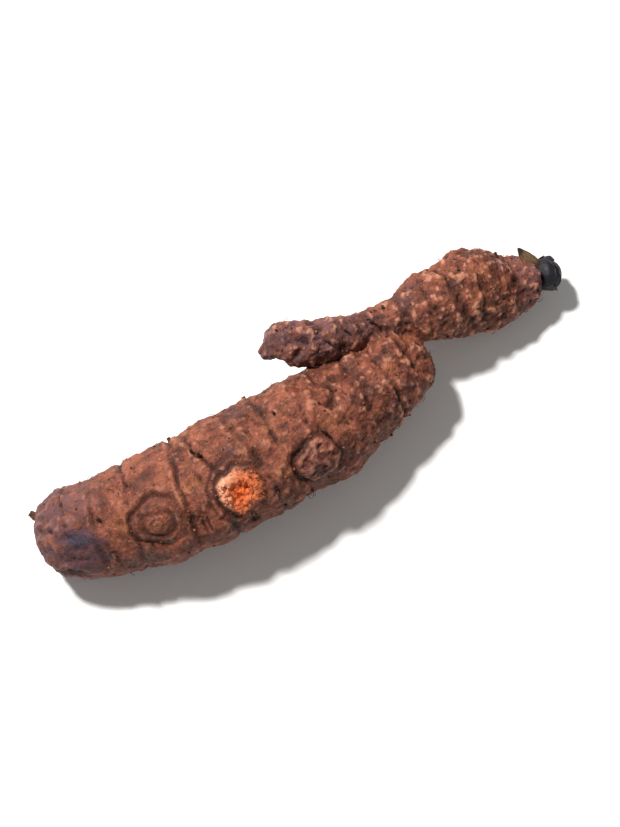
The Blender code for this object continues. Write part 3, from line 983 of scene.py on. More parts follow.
@dataclass
class RootForm:
    """The root's whole form: both fingers fused in one skin, and the relief raised on it."""

    bead_length: float = 0.55
    bead_height: float = 0.97
    bead_sides: int = 44
    voxel: float = 0.330 * MM
    smoothing: int = 14
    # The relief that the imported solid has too.
    groove_depth: float = 0.30 * MM
    groove_width: float = 0.60 * MM
    lip_height: float = 0.10 * MM
    lip_offset: float = 1.05 * MM
    lip_width: float = 0.80 * MM
    barrel_height: float = 0.12 * MM
    barrel_reach: float = 3.0 * MM
    ring_fade: float = 0.60
    fade_turn: float = 2.7
    wander_turn: float = 1.9
    lumps: NoiseLayer = NoiseLayer(9.0 * MM, 1.10 * MM, 3.1)
    knobs: NoiseLayer = NoiseLayer(4.5 * MM, 0.65 * MM, 17.9)
    pits: NoiseLayer = NoiseLayer(2.6 * MM, 0.45 * MM, 7.7)
    wander: NoiseLayer = NoiseLayer(4.8 * MM, 1.10 * MM, 13.3)
    seam_softness: float = 0.06
    seam_width: float = 0.16
    scar_depth: float = 4.5 * MM
    scar_groove_width: float = 0.60 * MM
    scar_raggedness: float = 0.90 * MM
    scar_fraying: float = 0.75 * MM
    scar_softness: float = 0.3 * MM
    scar_clearing: float = 0.8
    # Places in a scar, as shares of its radius.
    disc_edge: float = 0.9
    groove_place: float = 1.05
    inner_groove_place: float = 0.58
    outer_groove_place: float = 1.40
    band_place: float = 0.82
    band_width: float = 0.20
    cleared_edge: float = 1.15
    one_sided_start: float = 0.4
    flesh_edge: float = 0.95
    core_edge: float = 0.45
    # The finer relief that only the skin has.
    frayed: NoiseLayer = NoiseLayer(0.9 * MM, 0.30 * MM, 5.9)
    clods: NoiseLayer = NoiseLayer(1.6 * MM, 0.30 * MM, 21.7, octaves=4)
    grains: NoiseLayer = NoiseLayer(1.45 * MM, 0.24 * MM, 4.4)
    breaks: NoiseLayer = NoiseLayer(3.4 * MM, 1.5, 29.3)
    whole_mean: float = 0.50
    whole_limits: tuple[float, float] = (0.05, 0.9)
    pebble_mean: float = 0.7
    jitter: float = 0.55 * MM
    hairline_depth: float = 0.18 * MM
    hairline_width: float = 0.26 * MM
    edge_height: float = 0.05 * MM
    edge_offset: float = 0.60 * MM
    wrinkle_height: float = 0.04 * MM
    wrinkle_pitch: float = 0.85 * MM
    wrinkle_reach: float = 2.6 * MM
    ripple_pitch: float = 0.9 * MM
    line_width: float = 0.30 * MM
    # The dark lines in a scar, darkest on its upper-left arc as painted shade: each one's strength
    # and its width over a ring's line.
    rim_line: tuple[float, float] = (0.95, 2.0)
    core_line: tuple[float, float] = (0.85, 1.3)
    outer_line: tuple[float, float] = (0.80, 1.2)
    shade_band_strength: float = 0.90
    # A scar's rim is deepest towards the picture's upper left, and its dark line there carries
    # painted shade: its least depth, mean and swing.
    rim_depths: Point = (0.15, 0.62, 0.55)
    # The lumps beside the fingers: x, y, z and radius, in millimetres.
    swellings: tuple[tuple[float, float, float, float], ...] = (
        (44.4, 14.2, 10.0, 2.9), (34.6, 12.2, 12.6, 2.4), (23.4, 2.2, 13.6, 4.6),
        (56.8, 5.8, 9.6, 1.7), (1.9, 11.8, 16.6, 1.9),
    )
    thick: Finger = field(default_factory=lambda: Finger(
        stations=(
            (-50.7, -1.6, 8.9, 6.6), (-47.0, -3.2, 9.4, 8.9), (-41.0, -4.9, 10.1, 10.0),
            (-34.5, -5.8, 10.5, 10.4), (-26.0, -6.4, 10.9, 11.2), (-19.0, -6.4, 11.2, 11.7),
            (-12.4, -5.9, 11.3, 11.8), (-5.9, -5.1, 11.1, 11.4), (0.4, -4.6, 11.1, 11.2),
            (5.2, -4.2, 10.8, 10.9), (11.5, -3.0, 10.4, 10.1), (17.4, -1.6, 9.6, 9.1),
            (22.4, -0.4, 9.4, 8.3), (27.2, 0.2, 9.2, 6.9),
        ),
        rings=(
            (-47.6, 0.5, 0.7), (-42.0, 0.2, 0.8), (-35.2, -0.8, 0.9), (-24.8, -1.0, 1.1),
            (-21.0, 2.6, 0.9), (-17.8, 3.0, 0.8), (-10.6, 1.0, 0.6), (-4.6, 0.4, 0.6),
            (1.8, -0.6, 0.4), (7.6, 0.3, 0.6), (13.6, -0.6, 0.4), (19.8, -0.8, 1.1),
            (25.6, 0.2, 0.4),
        ),
        roughness=(0.35, 1.00),
    ))
    slim: Finger = field(default_factory=lambda: Finger(
        stations=(
            (3.6, 12.9, 18.2, 3.5), (8.1, 10.8, 17.7, 4.4), (12.2, 9.7, 17.0, 4.1),
            (18.1, 8.9, 16.0, 3.1), (22.7, 8.7, 15.0, 3.2), (27.5, 8.2, 13.8, 4.1),
            (32.0, 7.8, 12.4, 6.0), (37.5, 7.7, 10.8, 7.1), (43.1, 8.3, 8.6, 7.9),
            (47.5, 7.6, 7.3, 7.8), (51.0, 6.6, 6.6, 6.6), (53.8, 6.2, 6.5, 5.6),
            (56.2, 6.0, 6.4, 4.6),
        ),
        rings=(
            (6.9, 0.5, 0.4), (10.8, -0.4, 0.3), (14.9, 0.3, 0.5), (19.2, 0.5, 0.3),
            (23.4, -0.4, 0.5), (28.0, 0.6, 0.4), (32.8, -0.7, 0.3), (37.9, 0.6, 0.5),
            (43.2, -0.5, 0.4), (48.6, 0.8, 0.6), (53.0, 0.2, 0.5),
        ),
        roughness=(1.00, 1.10),
    ))
    scars: tuple[Scar, ...] = (
        Scar(-30.8, -27.0, 4.8, ScarKind.CLOSED),
        Scar(-15.2, -31.0, 4.6, ScarKind.BROKEN),
        Scar(0.7, -45.0, 4.5, ScarKind.KNOB),
        Scar(7.1, 15.0, 1.9, ScarKind.CRESCENT),
        Scar(-27.0, 112.0, 4.0, ScarKind.CLOSED),
        Scar(-3.0, 128.0, 3.6, ScarKind.KNOB),
    )
    # The picture's upper left, towards the key light: the broken scar's flesh gets a pink painted
    # highlight there, and the scars' rims painted shade.
    highlight_side: Point = (-0.77, 0.64, 0.0)
    # The dusky patch under the tip: its slate middle and the mauve below it.
    dusk_slate: Spot = Spot((-46.6, -7.2, 17.5), 4.6, 2.2)
    dusk_mauve: Spot = Spot((-46.4, -10.0, 15.0), 5.6, 4.6)
    mauve_share: float = 0.58
    # A pale spot that stands in for a glint: painted highlight in the scar cores' tan.
    glint_spot: Spot = Spot((13.1, -7.9, 18.5), 1.0, 0.6)
    folds: tuple[Fold, ...] = (
        Fold((40.4, 5.8, 16.6), (0.99, 0.12, 0.0), 6.5, 0.5),
        Fold((49.6, 7.6, 14.0), (0.96, -0.25, 0.1), 4.5, 0.15),
    )
    # The thick finger's dried tip: how far it reaches, and its lengthwise wrinkles.
    tip_reach: float = 5.5 * MM
    tip_softness: float = 1.2 * MM
    tip_cap: float = 3.6 * MM
    tip_wrinkles: int = 11
    tip_wrinkle_height: float = 0.26 * MM
    tip_pit_depth: float = 0.55 * MM
    # How far along each finger it is mauve, and how far back from the bud.
    mauve_ends: tuple[float, float] = (7.5 * MM, 19.0 * MM)
    mauve_neck: float = 2.5 * MM
    # Each finger's underside gets painted shade from this angle off the top, and its front side
    # from:
    # how far along, the angle, how much.
    shade_under: float = 1.9
    shade_sides: tuple[Point, ...] = ((44.0 * MM, -0.95, 1.0), (0.0, -0.95, 0.5))

    @property
    def fingers(self) -> tuple[Finger, Finger]:
        """The thick finger and the slim one."""
        return self.thick, self.slim

    def beads(self) -> bpy.types.Mesh:
        """Fill both fingers with overlapping beads, and add the lumps beside them.

        Returns:
            The mesh of all the beads, still separate.
        """
        copies = []
        for finger in self.fingers:
            rows = zip(finger.points, finger.tangents, finger.sides, finger.ups, finger.radii)
            for centre, *axes, radius in rows:
                scale = (radius * self.bead_length, radius, radius * self.bead_height)
                copies.append((centre, axes, scale))
        for *centre, radius in self.swellings:
            copies.append((np.array(centre) * MM, np.eye(3), (radius * MM,) * 3))
        bm = bmesh.new()
        sides = {"u_segments": self.bead_sides, "v_segments": self.bead_sides // 2}
        bmesh.ops.create_uvsphere(bm, radius=1.0, **sides)
        ball = mesh_from(bm, "bead")
        bm = bmesh.new()
        for centre, axes, scale in copies:
            turn = Matrix([Vector(axis) for axis in axes]).transposed().to_4x4()
            move = Matrix.Translation(Vector(centre)) @ turn @ Matrix.Diagonal((*scale, 1.0))
            bead = ball.copy()
            bead.transform(move)
            bm.from_mesh(bead)
            bpy.data.meshes.remove(bead)
        return mesh_from(bm, "beads")

    def fused(self) -> bpy.types.Object:
        """Fuse the beads into one smooth skin.

        Returns:
            The skin, with no relief yet.
        """
        root = new_object("rhizome_skin", self.beads())
        skin = root.modifiers.new("skin", "REMESH")
        skin.mode = "VOXEL"
        skin.voxel_size = self.voxel
        root.modifiers.new("smooth", "SMOOTH").iterations = self.smoothing
        bake_modifiers(root)
        return root

    def unrest(self, places: Array) -> Unrest:
        """Work out the noise at each of the skin's points.

        Args:
            places: The skin's points.

        Returns:
            The noise.
        """
        layers = (self.knobs, self.pits, self.wander, self.frayed, self.clods)
        breaks = self.whole_mean + self.breaks.height * self.breaks.at(places)
        return Unrest(
            *(layer.at(places) for layer in layers),
            self.grains.pebbles(places),
            np.clip(breaks, *self.whole_limits),
        )

    def rings(
        self, finger: Finger, along: Array, angle: Array, unrest: Unrest
    ) -> tuple[Array, Array]:
        """Raise the rings and the barrel-shaped stretches between them.

        Args:
            finger: The finger that they cross.
            along: Each point's arc length along it.
            angle: Each point's angle from its top.
            unrest: The noise that makes them wander and frays them.

        Returns:
            The height, and the mask of the dark line in each ring.
        """
        height, line = np.zeros_like(along), np.zeros_like(along)
        nearest = np.full_like(along, np.inf)
        rings = zip(finger.ring_arcs, finger.ring_leans, finger.ring_depths)
        for index, (ring, lean, depth) in enumerate(rings):
            sway = self.wander.height * unrest.wander * math.cos(self.wander_turn * index)
            distance = along - ring + lean * np.sin(angle) - sway
            fade = 1.0 + self.ring_fade * np.sin(2.0 * angle + self.fade_turn * index)
            strength = depth * fade
            frayed = distance + self.frayed.height * unrest.torn + self.jitter * unrest.pits
            thin = np.clip(0.20 + 0.70 * strength, 0.0, 0.9) * unrest.whole
            wrinkle = self.wrinkle_height * np.cos(math.tau * frayed / self.wrinkle_pitch)
            edge = self.edge_height * (thin + unrest.torn)
            for rise, place, width in (
                (-strength * self.groove_depth, distance, self.groove_width),
                (strength * self.lip_height, distance + self.lip_offset, self.lip_width),
                (-thin * self.hairline_depth, frayed, self.hairline_width),
                (edge, frayed + self.edge_offset, self.hairline_width),
                (wrinkle, distance, self.wrinkle_reach),
            ):
                height += rise * bell(place, width)
            line = np.maximum(line, thin * bell(frayed, self.line_width))
            nearest = np.minimum(nearest, np.abs(distance))
        height += self.barrel_height * np.minimum(nearest / self.barrel_reach, 1.0)
        return height, line

    def scar(self, scar: Scar, places: Array, unrest: Unrest) -> dict[str, Array]:
        """Raise one scar.

        Args:
            scar: The scar.
            places: The skin's points.
            unrest: The noise that makes its outline ragged and its top lumpy.

        Returns:
            The height that it adds, how far it clears what was there, and its masks.
        """
        form, radius = scar.kind.value, scar.radius * MM
        torn = unrest.torn + 0.5 * unrest.clods
        centre, facing = scar.place(self.thick)
        offsets = places - centre
        depth = offsets @ facing
        flat = offsets - depth[:, None] * facing
        spread = np.linalg.norm(flat, axis=1)
        near = falloff(np.abs(depth), self.scar_depth, self.scar_softness)
        ragged = spread + self.scar_raggedness * unrest.wander + self.scar_fraying * unrest.pits
        frayed = ragged + self.frayed.height * torn
        # How far each point lies towards the key light: it places the flesh's pink painted
        # highlight and, through side, the rims' painted shade.
        lit = flat @ np.array(self.highlight_side) / radius
        least, mean, swing = self.rim_depths
        side = np.clip(mean + swing * lit, least, 1.0)
        if form.one_sided:
            lead = offsets @ self.thick.tangents[0] / radius
            side = np.clip(lead + self.one_sided_start, 0.0, 1.0)
        inside = falloff(ragged, self.disc_edge * radius, self.scar_softness)
        dome = np.sqrt(np.clip(1.0 - (ragged / radius) ** 2, 0.0, 1.0))
        height = form.disc * inside + form.dome * dome * (1.0 + 0.5 * unrest.pits)
        height += form.core * falloff(ragged, form.core_share * radius, self.scar_softness)
        for sunk, place, width in (
            (form.groove * side, self.groove_place, 1.0),
            (form.inner_groove, self.inner_groove_place, 1.0),
            (form.outer_groove * side, self.outer_groove_place, 0.6),
        ):
            height -= sunk * bell(ragged - place * radius, width * self.scar_groove_width)
        ripples = form.ripple * np.cos(math.tau * ragged / self.ripple_pitch)
        height += inside * (ripples + form.torn * torn)
        line = np.zeros_like(height)
        # A line's strength follows side, so the rim's upper-left arc is darker: painted shade.
        for strength, (share, width), place in (
            (side, self.rim_line, self.groove_place),
            (float(form.inner_groove > 0.0), self.core_line, self.inner_groove_place),
            (float(form.outer_groove > 0.0) * side, self.outer_line, self.outer_groove_place),
        ):
            mark = bell(frayed - place * radius, width * self.line_width)
            line = np.maximum(line, share * strength * mark)
        # A broad dark band inside a closed scar's rim, strongest at its upper left: painted shade.
        if form.inner_groove:
            shade_band = bell(ragged - self.band_place * radius, self.band_width * radius)
            shade_band *= self.shade_band_strength * side ** 2 * (1.0 + 0.5 * torn)
            line = np.maximum(line, shade_band)
        flesh = near * falloff(frayed, self.flesh_edge * radius, 0.12 * MM)
        core = near * falloff(frayed, self.core_edge * radius, 0.2 * MM)
        return {
            "height": height * MM * near,
            "cleared": near * falloff(spread, self.cleared_edge * radius, self.scar_softness),
            "ring": line * near,
            "flesh": (form.torn > 0.0) * flesh,
            "disc": (form.ripple > 0.0) * core,
            "knob": (form.dome > 0.0) * near * inside,
            "flesh_ring": ragged / radius,
            "flesh_side": lit,
        }

    def relief(self, places: Array) -> tuple[Array, dict[str, Array]]:
        """Work out the whole relief.

        Args:
            places: The skin's points.

        Returns:
            The height at each point, and the masks that the colours follow.
        """
        unrest = self.unrest(places)
        coordinates = [finger.coordinates(places) for finger in self.fingers]
        lead = coordinates[1][0] - coordinates[0][0]
        shares = [falloff(side * lead, 0.0, self.seam_softness) for side in (-1.0, 1.0)]
        seam = 1.0 - bell(lead, self.seam_width)
        lumps = self.knobs.height * unrest.knobs + self.pits.height * unrest.pits
        height = self.lumps.height * self.lumps.at(places)
        line, rough = np.zeros_like(height), np.zeros_like(height)
        for finger, share, (_, along, angle) in zip(self.fingers, shares, coordinates):
            raised, ring = self.rings(finger, along, angle, unrest)
            roughness = np.interp(along, (0.0, finger.arc[-1]), finger.roughness)
            height += share * (seam * raised + roughness * lumps)
            line += share * seam * ring
            rough += share * roughness
        tip_height, tip_line, tip = self.tip(coordinates[0], unrest)
        height += tip_height
        line = np.maximum(line, tip_line)
        fine = self.clods.height * (0.25 + rough + 0.6 * tip) * unrest.clods
        fine += self.grains.height * rough * (unrest.pebbles - self.pebble_mean)
        masks = {name: np.zeros_like(height) for name in ("cleared", "flesh", "disc", "knob")}
        masks.update(flesh_ring=np.ones_like(height), flesh_side=np.zeros_like(height))
        for scar in self.scars:
            mark = self.scar(scar, places, unrest)
            height = height * (1.0 - self.scar_clearing * mark["cleared"]) + mark["height"]
            line = np.maximum(line * (1.0 - mark["cleared"]), mark["ring"])
            for name in ("cleared", "flesh", "disc", "knob"):
                masks[name] = np.maximum(masks[name], mark[name])
            for name in ("flesh_ring", "flesh_side"):
                masks[name] = np.where(mark["flesh"] > 0.01, mark[name], masks[name])
        height += fine * (1.0 + 1.2 * masks["knob"] - 0.3 * masks.pop("cleared"))
        for fold in self.folds:
            crease = fold.at(places, unrest.wander + 0.4 * unrest.pits)
            height -= fold.depth * MM * crease
            # The crease is darkened along its line: painted shade.
            line = np.maximum(line, fold.depth * crease ** 2)
        mauve = self.mauve_share * self.dusk_mauve.at(places)
        # The glint spot's painted highlight shares the closed scars' tan.
        masks["disc"] = np.maximum(masks["disc"], self.glint_spot.at(places))
        masks["dusk"] = np.maximum(self.dusk_slate.at(places), mauve)
        # The mauve mask, and the mask of painted shade on the undersides and front flanks.
        masks["cool"], masks["painted_shade"] = self.tints(coordinates, shares, unrest)
        # The ring mask holds the rings' own dark lines and the painted shade of creases and scar
        # rims.
        return height, {"ring": line, "rough": rough, **masks}

    def tip(
        self, coordinates: tuple[Array, Array, Array], unrest: Unrest
    ) -> tuple[Array, Array, Array]:
        """Shrivel the thick finger's dried tip.

        Args:
            coordinates: Each point's reach, arc length and angle on the thick finger.
            unrest: The noise that bends and frays the wrinkles and sinks hollows between them.

        Returns:
            The height, the mask of the dark creases and the mask of the tip.
        """
        reach, along, angle = coordinates
        edge = along + 1.5 * MM * unrest.wander
        tip = falloff(reach, 1.6, 0.1) * falloff(edge, self.tip_reach, self.tip_softness)
        spread = np.clip(1.0 + along / self.tip_cap, 0.0, 1.0)
        bend = 3.0 * unrest.wander + 1.2 * unrest.pits + 0.5 * unrest.torn
        wave = np.cos(self.tip_wrinkles * angle + bend)
        height = self.tip_wrinkle_height * wave * spread
        height -= self.tip_pit_depth * np.clip(unrest.pits, 0.0, 1.0)
        # Painted shade in the wrinkles' troughs.
        line = 0.6 * np.clip(-wave, 0.0, 1.0) ** 3 * spread * (0.6 + 0.4 * unrest.torn)
        return tip * height, tip * line, tip

    def tints(
        self, coordinates: list[tuple[Array, Array, Array]], shares: list[Array], unrest: Unrest
    ) -> tuple[Array, Array]:
        """Work out where the skin is mauve and where shade is painted on it.

        Args:
            coordinates: Each point's reach, arc length and angle on each finger.
            shares: How far each point belongs to each finger.
            unrest: The noise that makes the patches' edges wander.

        Returns:
            The mauve mask and the painted-shade mask.
        """
        mauve, painted_shade = np.zeros_like(shares[0]), np.zeros_like(shares[0])
        sway = 3.5 * MM * (unrest.wander + unrest.knobs)
        for share, end, (_, along, angle) in zip(shares, self.mauve_ends, coordinates):
            mauve += 1.1 * share * falloff(along + sway, end, 0.25 * end)
            # Painted shade on each finger's underside.
            painted_shade += 0.8 * share * falloff(-np.abs(angle), -self.shade_under, 0.25)
        neck = self.slim.arc[-1] - coordinates[1][1]
        mauve += 0.9 * shares[1] * falloff(neck, self.mauve_neck, 0.6 * MM)
        # Painted shade on each finger's front flank, from a given point along it.
        for share, sides, (_, along, angle) in zip(shares, self.shade_sides, coordinates):
            start, side, depth = sides
            reach = falloff(angle, side, 0.2) * falloff(start - along, 0.0, 4.0 * MM)
            painted_shade = np.maximum(painted_shade, depth * share * reach)
        return mauve, painted_shade


def hollow_mask(mesh: bpy.types.Mesh, height: Array, rounds: int, depth: float) -> Array:
    """Work out how sunk each point is against the skin round it.

    Args:
        mesh: The skin, whose edges say which points are neighbours.
        height: Each point's height.
        rounds: How far round each point the skin is averaged.
        depth: The depth that counts as deeply sunk.

    Returns:
        Nought where the point is raised and one where it is deeply sunk.
    """
    edges = np.empty(len(mesh.edges) * 2, dtype=np.int64)
    mesh.edges.foreach_get("vertices", edges)
    first, second = edges[0::2], edges[1::2]
    count = len(height)
    links = np.bincount(first, minlength=count) + np.bincount(second, minlength=count)
    average = height.copy()
    for _ in range(rounds):
        total = np.bincount(first, weights=average[second], minlength=count)
        total += np.bincount(second, weights=average[first], minlength=count)
        average = total / np.maximum(links, 1)
    return np.clip(0.5 + 0.5 * (average - height) / depth, 0.0, 1.0)


@dataclass
class Rhizome:
    """The root's own skin."""

    form: RootForm
    finish: SkinFinish = SkinFinish()
    # How far round a point and how deep a hollow and a dale reach; the skin paints shade into both.
    hollow: tuple[int, float] = (14, 0.34 * MM)
    dale: tuple[int, float] = (110, 0.90 * MM)

    def build(self) -> bpy.types.Object:
        """Fuse, raise and dress the skin, and set it on the floor.

        Returns:
            The finished piece.
        """
        skin = self.form.fused()
        mesh = skin.data
        places = mesh_rows(mesh, "co")
        height, masks = self.form.relief(places)
        moved = places + mesh_rows(mesh, "normal") * height[:, None] - BOX_MIDDLE
        mesh.vertices.foreach_set("co", moved.ravel())
        set_on_floor(mesh)
        masks["hollow"] = hollow_mask(mesh, height, *self.hollow)
        masks["dale"] = hollow_mask(mesh, height, *self.dale)
        for name, values in masks.items():
            store(mesh, name, values)
        finish_piece(skin, self.finish.material())
        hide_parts("rhizome")
        return skin


class Scatter(NodeSheet):
    """A Geometry Nodes tree that stands copies of a small shape on a surface or on points."""

    def __init__(self, name: str, **sizes: float) -> None:
        """Start a tree with a geometry input and the named inputs.

        Args:
            name: The tree's name.
            sizes: Each named input's value, a whole number for a seed.
        """
        self.tree = bpy.data.node_groups.new(name, "GeometryNodeTree")
        face = self.tree.interface
        face.new_socket("Geometry", in_out="INPUT", socket_type="NodeSocketGeometry")
        self.values = {}
        for label, value in sizes.items():
            kind = "NodeSocketInt" if isinstance(value, int) else "NodeSocketFloat"
            socket = face.new_socket(label, in_out="INPUT", socket_type=kind)
            self.values[socket.identifier] = value
        face.new_socket("Geometry", in_out="OUTPUT", socket_type="NodeSocketGeometry")
        self.entry = self.tree.nodes.new("NodeGroupInput").outputs
        self.exit = self.tree.nodes.new("NodeGroupOutput").inputs

    def attribute(self, name: str, kind: str = "FLOAT") -> Socket:
        """Read one of the source's named attributes."""
        node = "GeometryNodeInputNamedAttribute"
        return self.add(node, {"Name": name}, "Attribute", data_type=kind)

    def draw(self, seed: int, low: float = 0.0, high: float = 1.0) -> Socket:
        """Draw a number for each point."""
        inputs = {2: low, 3: high, "Seed": seed}
        return self.add("FunctionNodeRandomValue", inputs, 1, data_type="FLOAT")

    def draw_vector(self, seed: int, low: Point, high: Point) -> Socket:
        """Draw a vector for each point."""
        inputs = {"Min": low, "Max": high, "Seed": seed}
        return self.add("FunctionNodeRandomValue", inputs, 0, data_type="FLOAT_VECTOR")

    def on_faces(self, density: Socket) -> Socket:
        """Spread points over the source's faces."""
        inputs = {"Mesh": self.entry["Geometry"], "Density": density, "Seed": self.entry["Seed"]}
        return self.add("GeometryNodeDistributePointsOnFaces", inputs, "Points")

    def dented(
        self, shape: Socket, scale: float, detail: float, reach: Point = (1.0, 1.0, 1.0)
    ) -> Socket:
        """Dent a shape by noise.

        Args:
            shape: The shape.
            scale: The noise's scale.
            detail: How many finer layers it has.
            reach: How far it moves the shape's points along each axis.

        Returns:
            The dented shape.
        """
        lumps = self.add("ShaderNodeTexNoise", {"Scale": scale, "Detail": detail}, "Color")
        halves = {0: lumps, 1: (0.5, 0.5, 0.5)}
        dent = self.add("ShaderNodeVectorMath", halves, operation="SUBTRACT")
        offset = self.add("ShaderNodeVectorMath", {0: dent, 1: reach}, operation="MULTIPLY")
        return self.add("GeometryNodeSetPosition", {"Geometry": shape, "Offset": offset})

    def stand(self, points: Socket, shape: Socket, turn: Socket, scale: Socket) -> Socket:
        """Stand a turned and scaled copy of the shape on each point."""
        inputs = {"Points": points, "Instance": shape, "Rotation": turn, "Scale": scale}
        return self.add("GeometryNodeInstanceOnPoints", inputs)

    def tone(self, copies: Socket, seed: int) -> Socket:
        """Give each copy a tone of its own."""
        inputs = {"Geometry": copies, "Name": "tone", "Value": self.draw(seed)}
        settings = {"data_type": "FLOAT", "domain": "INSTANCE"}
        return self.add("GeometryNodeStoreNamedAttribute", inputs, **settings)

    def grow(
        self, name: str, source: bpy.types.Mesh, copies: Socket, material: bpy.types.Material
    ) -> bpy.types.Object:
        """Close the tree, run it on a copy of a mesh and finish the result as a plain piece.

        Args:
            name: The new piece's name.
            source: The surface or the points that the tree starts from.
            copies: The copies that the tree has stood on it.
            material: Their material.

        Returns:
            The piece, with no modifier left on it.
        """
        real = self.add("GeometryNodeRealizeInstances", {"Geometry": copies})
        dressed = self.add("GeometryNodeSetMaterial", {"Geometry": real, "Material": material})
        self.tree.links.new(dressed, self.exit["Geometry"])
        piece = new_object(name, source.copy())
        modifier = piece.modifiers.new("scatter", "NODES")
        modifier.node_group = self.tree
        for identifier, value in self.values.items():
            modifier[identifier] = value
        bake_modifiers(piece)
        set_on_floor(piece.data)
        return finish_piece(piece)


@dataclass
class SoilCrumbs:
    """Crumbs of dry soil that cling in the skin's hollows and on its rough stretches."""

    density: float = 0.8e6
    smallest: float = 0.09 * MM
    largest: float = 0.34 * MM
    hollow_power: float = 2.2
    size_power: float = 2.6
    seed: int = 5
    finish: CrumbFinish = CrumbFinish()

    def build(self, skin: bpy.types.Object) -> bpy.types.Object:
        """Scatter the crumbs over the skin.

        Args:
            skin: The root's skin.

        Returns:
            The finished piece.
        """
        scatter = Scatter(
            "scatter_crumbs",
            Density=self.density,
            Smallest=self.smallest,
            Largest=self.largest,
            Seed=self.seed,
        )
        entry = scatter.entry
        sunk = scatter.math("POWER", scatter.attribute("hollow"), self.hollow_power)
        share = scatter.math("MULTIPLY", sunk, scatter.attribute("rough"))
        points = scatter.on_faces(scatter.math("MULTIPLY", share, entry["Density"]))
        ball = scatter.add("GeometryNodeMeshIcoSphere", {"Radius": 1.0, "Subdivisions": 1})
        radius = scatter.add("ShaderNodeMapRange", {
            "Value": scatter.math("POWER", scatter.draw(2), self.size_power),
            "To Min": entry["Smallest"],
            "To Max": entry["Largest"],
        })
        turn = scatter.draw_vector(1, (0.0, 0.0, 0.0), FULL_TURN)
        copies = scatter.stand(points, scatter.dented(ball, 1.3, 2.0), turn, radius)
        copies = scatter.tone(copies, 3)
        return scatter.grow("soil_crumbs", skin.data, copies, self.finish.material())


@dataclass
class RootStubs:
    """Short dead root stubs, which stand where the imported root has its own."""

    form: RootForm
    count: int = 28
    length: float = 0.75 * MM
    sunk: float = 1.0 * MM
    radius: float = 0.42 * MM
    top_share: float = 0.62
    past_ring: tuple[float, float] = (0.6 * MM, 2.4 * MM)
    angle: float = 105.0
    lean: float = 0.5
    scale: tuple[float, float] = (0.75, 1.25)
    slim_every: int = 3
    seed: int = 11
    # Four blunt ones that stand on the skin's edge: base, direction, length and girth.
    edge_stubs: tuple[tuple[Point, Point, float, float], ...] = (
        ((-53.1, 3.2, 9.0), (-0.6, 0.8, 0.1), 1.0, 2.4),
        ((-32.6, 4.3, 12.8), (0.1, 0.96, 0.24), 0.8, 1.5),
        ((-23.0, 4.7, 13.6), (-0.1, 0.96, 0.24), 0.6, 1.4),
        ((-6.4, 5.9, 14.0), (0.0, 0.96, 0.24), 0.6, 1.5),
    )
    finish: StubFinish = StubFinish()

    def places(self) -> list[tuple[Vector, Vector, float, float]]:
        """Place the stubs.

        Returns:
            Each stub's base, direction, length and girth.
        """
        draw = random.Random(self.seed)
        found = []
        for number in range(self.count):
            finger = self.form.thick if number % self.slim_every else self.form.slim
            arc = draw.choice(finger.ring_arcs[1:-1]) + draw.uniform(*self.past_ring)
            index = int(np.argmin(np.abs(finger.arc - arc)))
            facing = finger.facing(index, math.radians(draw.uniform(-self.angle, self.angle)))
            lean = finger.tangents[index] * draw.uniform(-self.lean, self.lean)
            surface = finger.points[index] + facing * finger.radii[index] - BOX_MIDDLE
            direction = Vector(facing + lean).normalized()
            found.append((Vector(surface), direction, draw.uniform(*self.scale), 1.0))
        for base, way, size, girth in self.edge_stubs:
            found.append((in_frame(base), Vector(way).normalized(), size, girth))
        return found

    def points(self) -> bpy.types.Mesh:
        """Make a mesh of loose points that carry each stub's direction, length and girth.

        Returns:
            The mesh.
        """
        bases, ways, sizes, girths = zip(*self.places())
        mesh = bpy.data.meshes.new("stub_points")
        mesh.from_pydata([base - way * self.sunk for base, way in zip(bases, ways)], [], [])
        way = mesh.attributes.new("way", "FLOAT_VECTOR", "POINT")
        way.data.foreach_set("vector", [value for row in ways for value in row])
        store(mesh, "size", np.array(sizes))
        store(mesh, "girth", np.array(girths))
        return mesh

    def build(self) -> bpy.types.Object:
        """Stand a tapered, ragged stub on each point.

        Returns:
            The finished piece.
        """
        scatter = Scatter("stand_stubs", Length=self.length, Sunk=self.sunk, Radius=self.radius)
        entry = scatter.entry
        cone = scatter.add("GeometryNodeMeshCone", {
            "Vertices": 9,
            "Side Segments": 7,
            "Fill Segments": 2,
            "Radius Top": self.top_share,
            "Radius Bottom": 1.0,
            "Depth": 1.0,
        }, "Mesh")
        way = {"Vector": scatter.attribute("way", "FLOAT_VECTOR")}
        turn = scatter.add("FunctionNodeAlignRotationToVector", way, "Rotation", axis="Z")
        size = scatter.attribute("size"), entry["Length"], entry["Sunk"]
        tall = scatter.math("MULTIPLY_ADD", *size)
        wide = scatter.math("MULTIPLY", scatter.attribute("girth"), entry["Radius"])
        scale = scatter.add("ShaderNodeCombineXYZ", {"X": wide, "Y": wide, "Z": tall})
        stub = scatter.dented(cone, 2.4, 3.0, (0.9, 0.9, 0.12))
        copies = scatter.stand(entry["Geometry"], stub, turn, scale)
        return scatter.grow("root_stubs", self.points(), copies, self.finish.material())


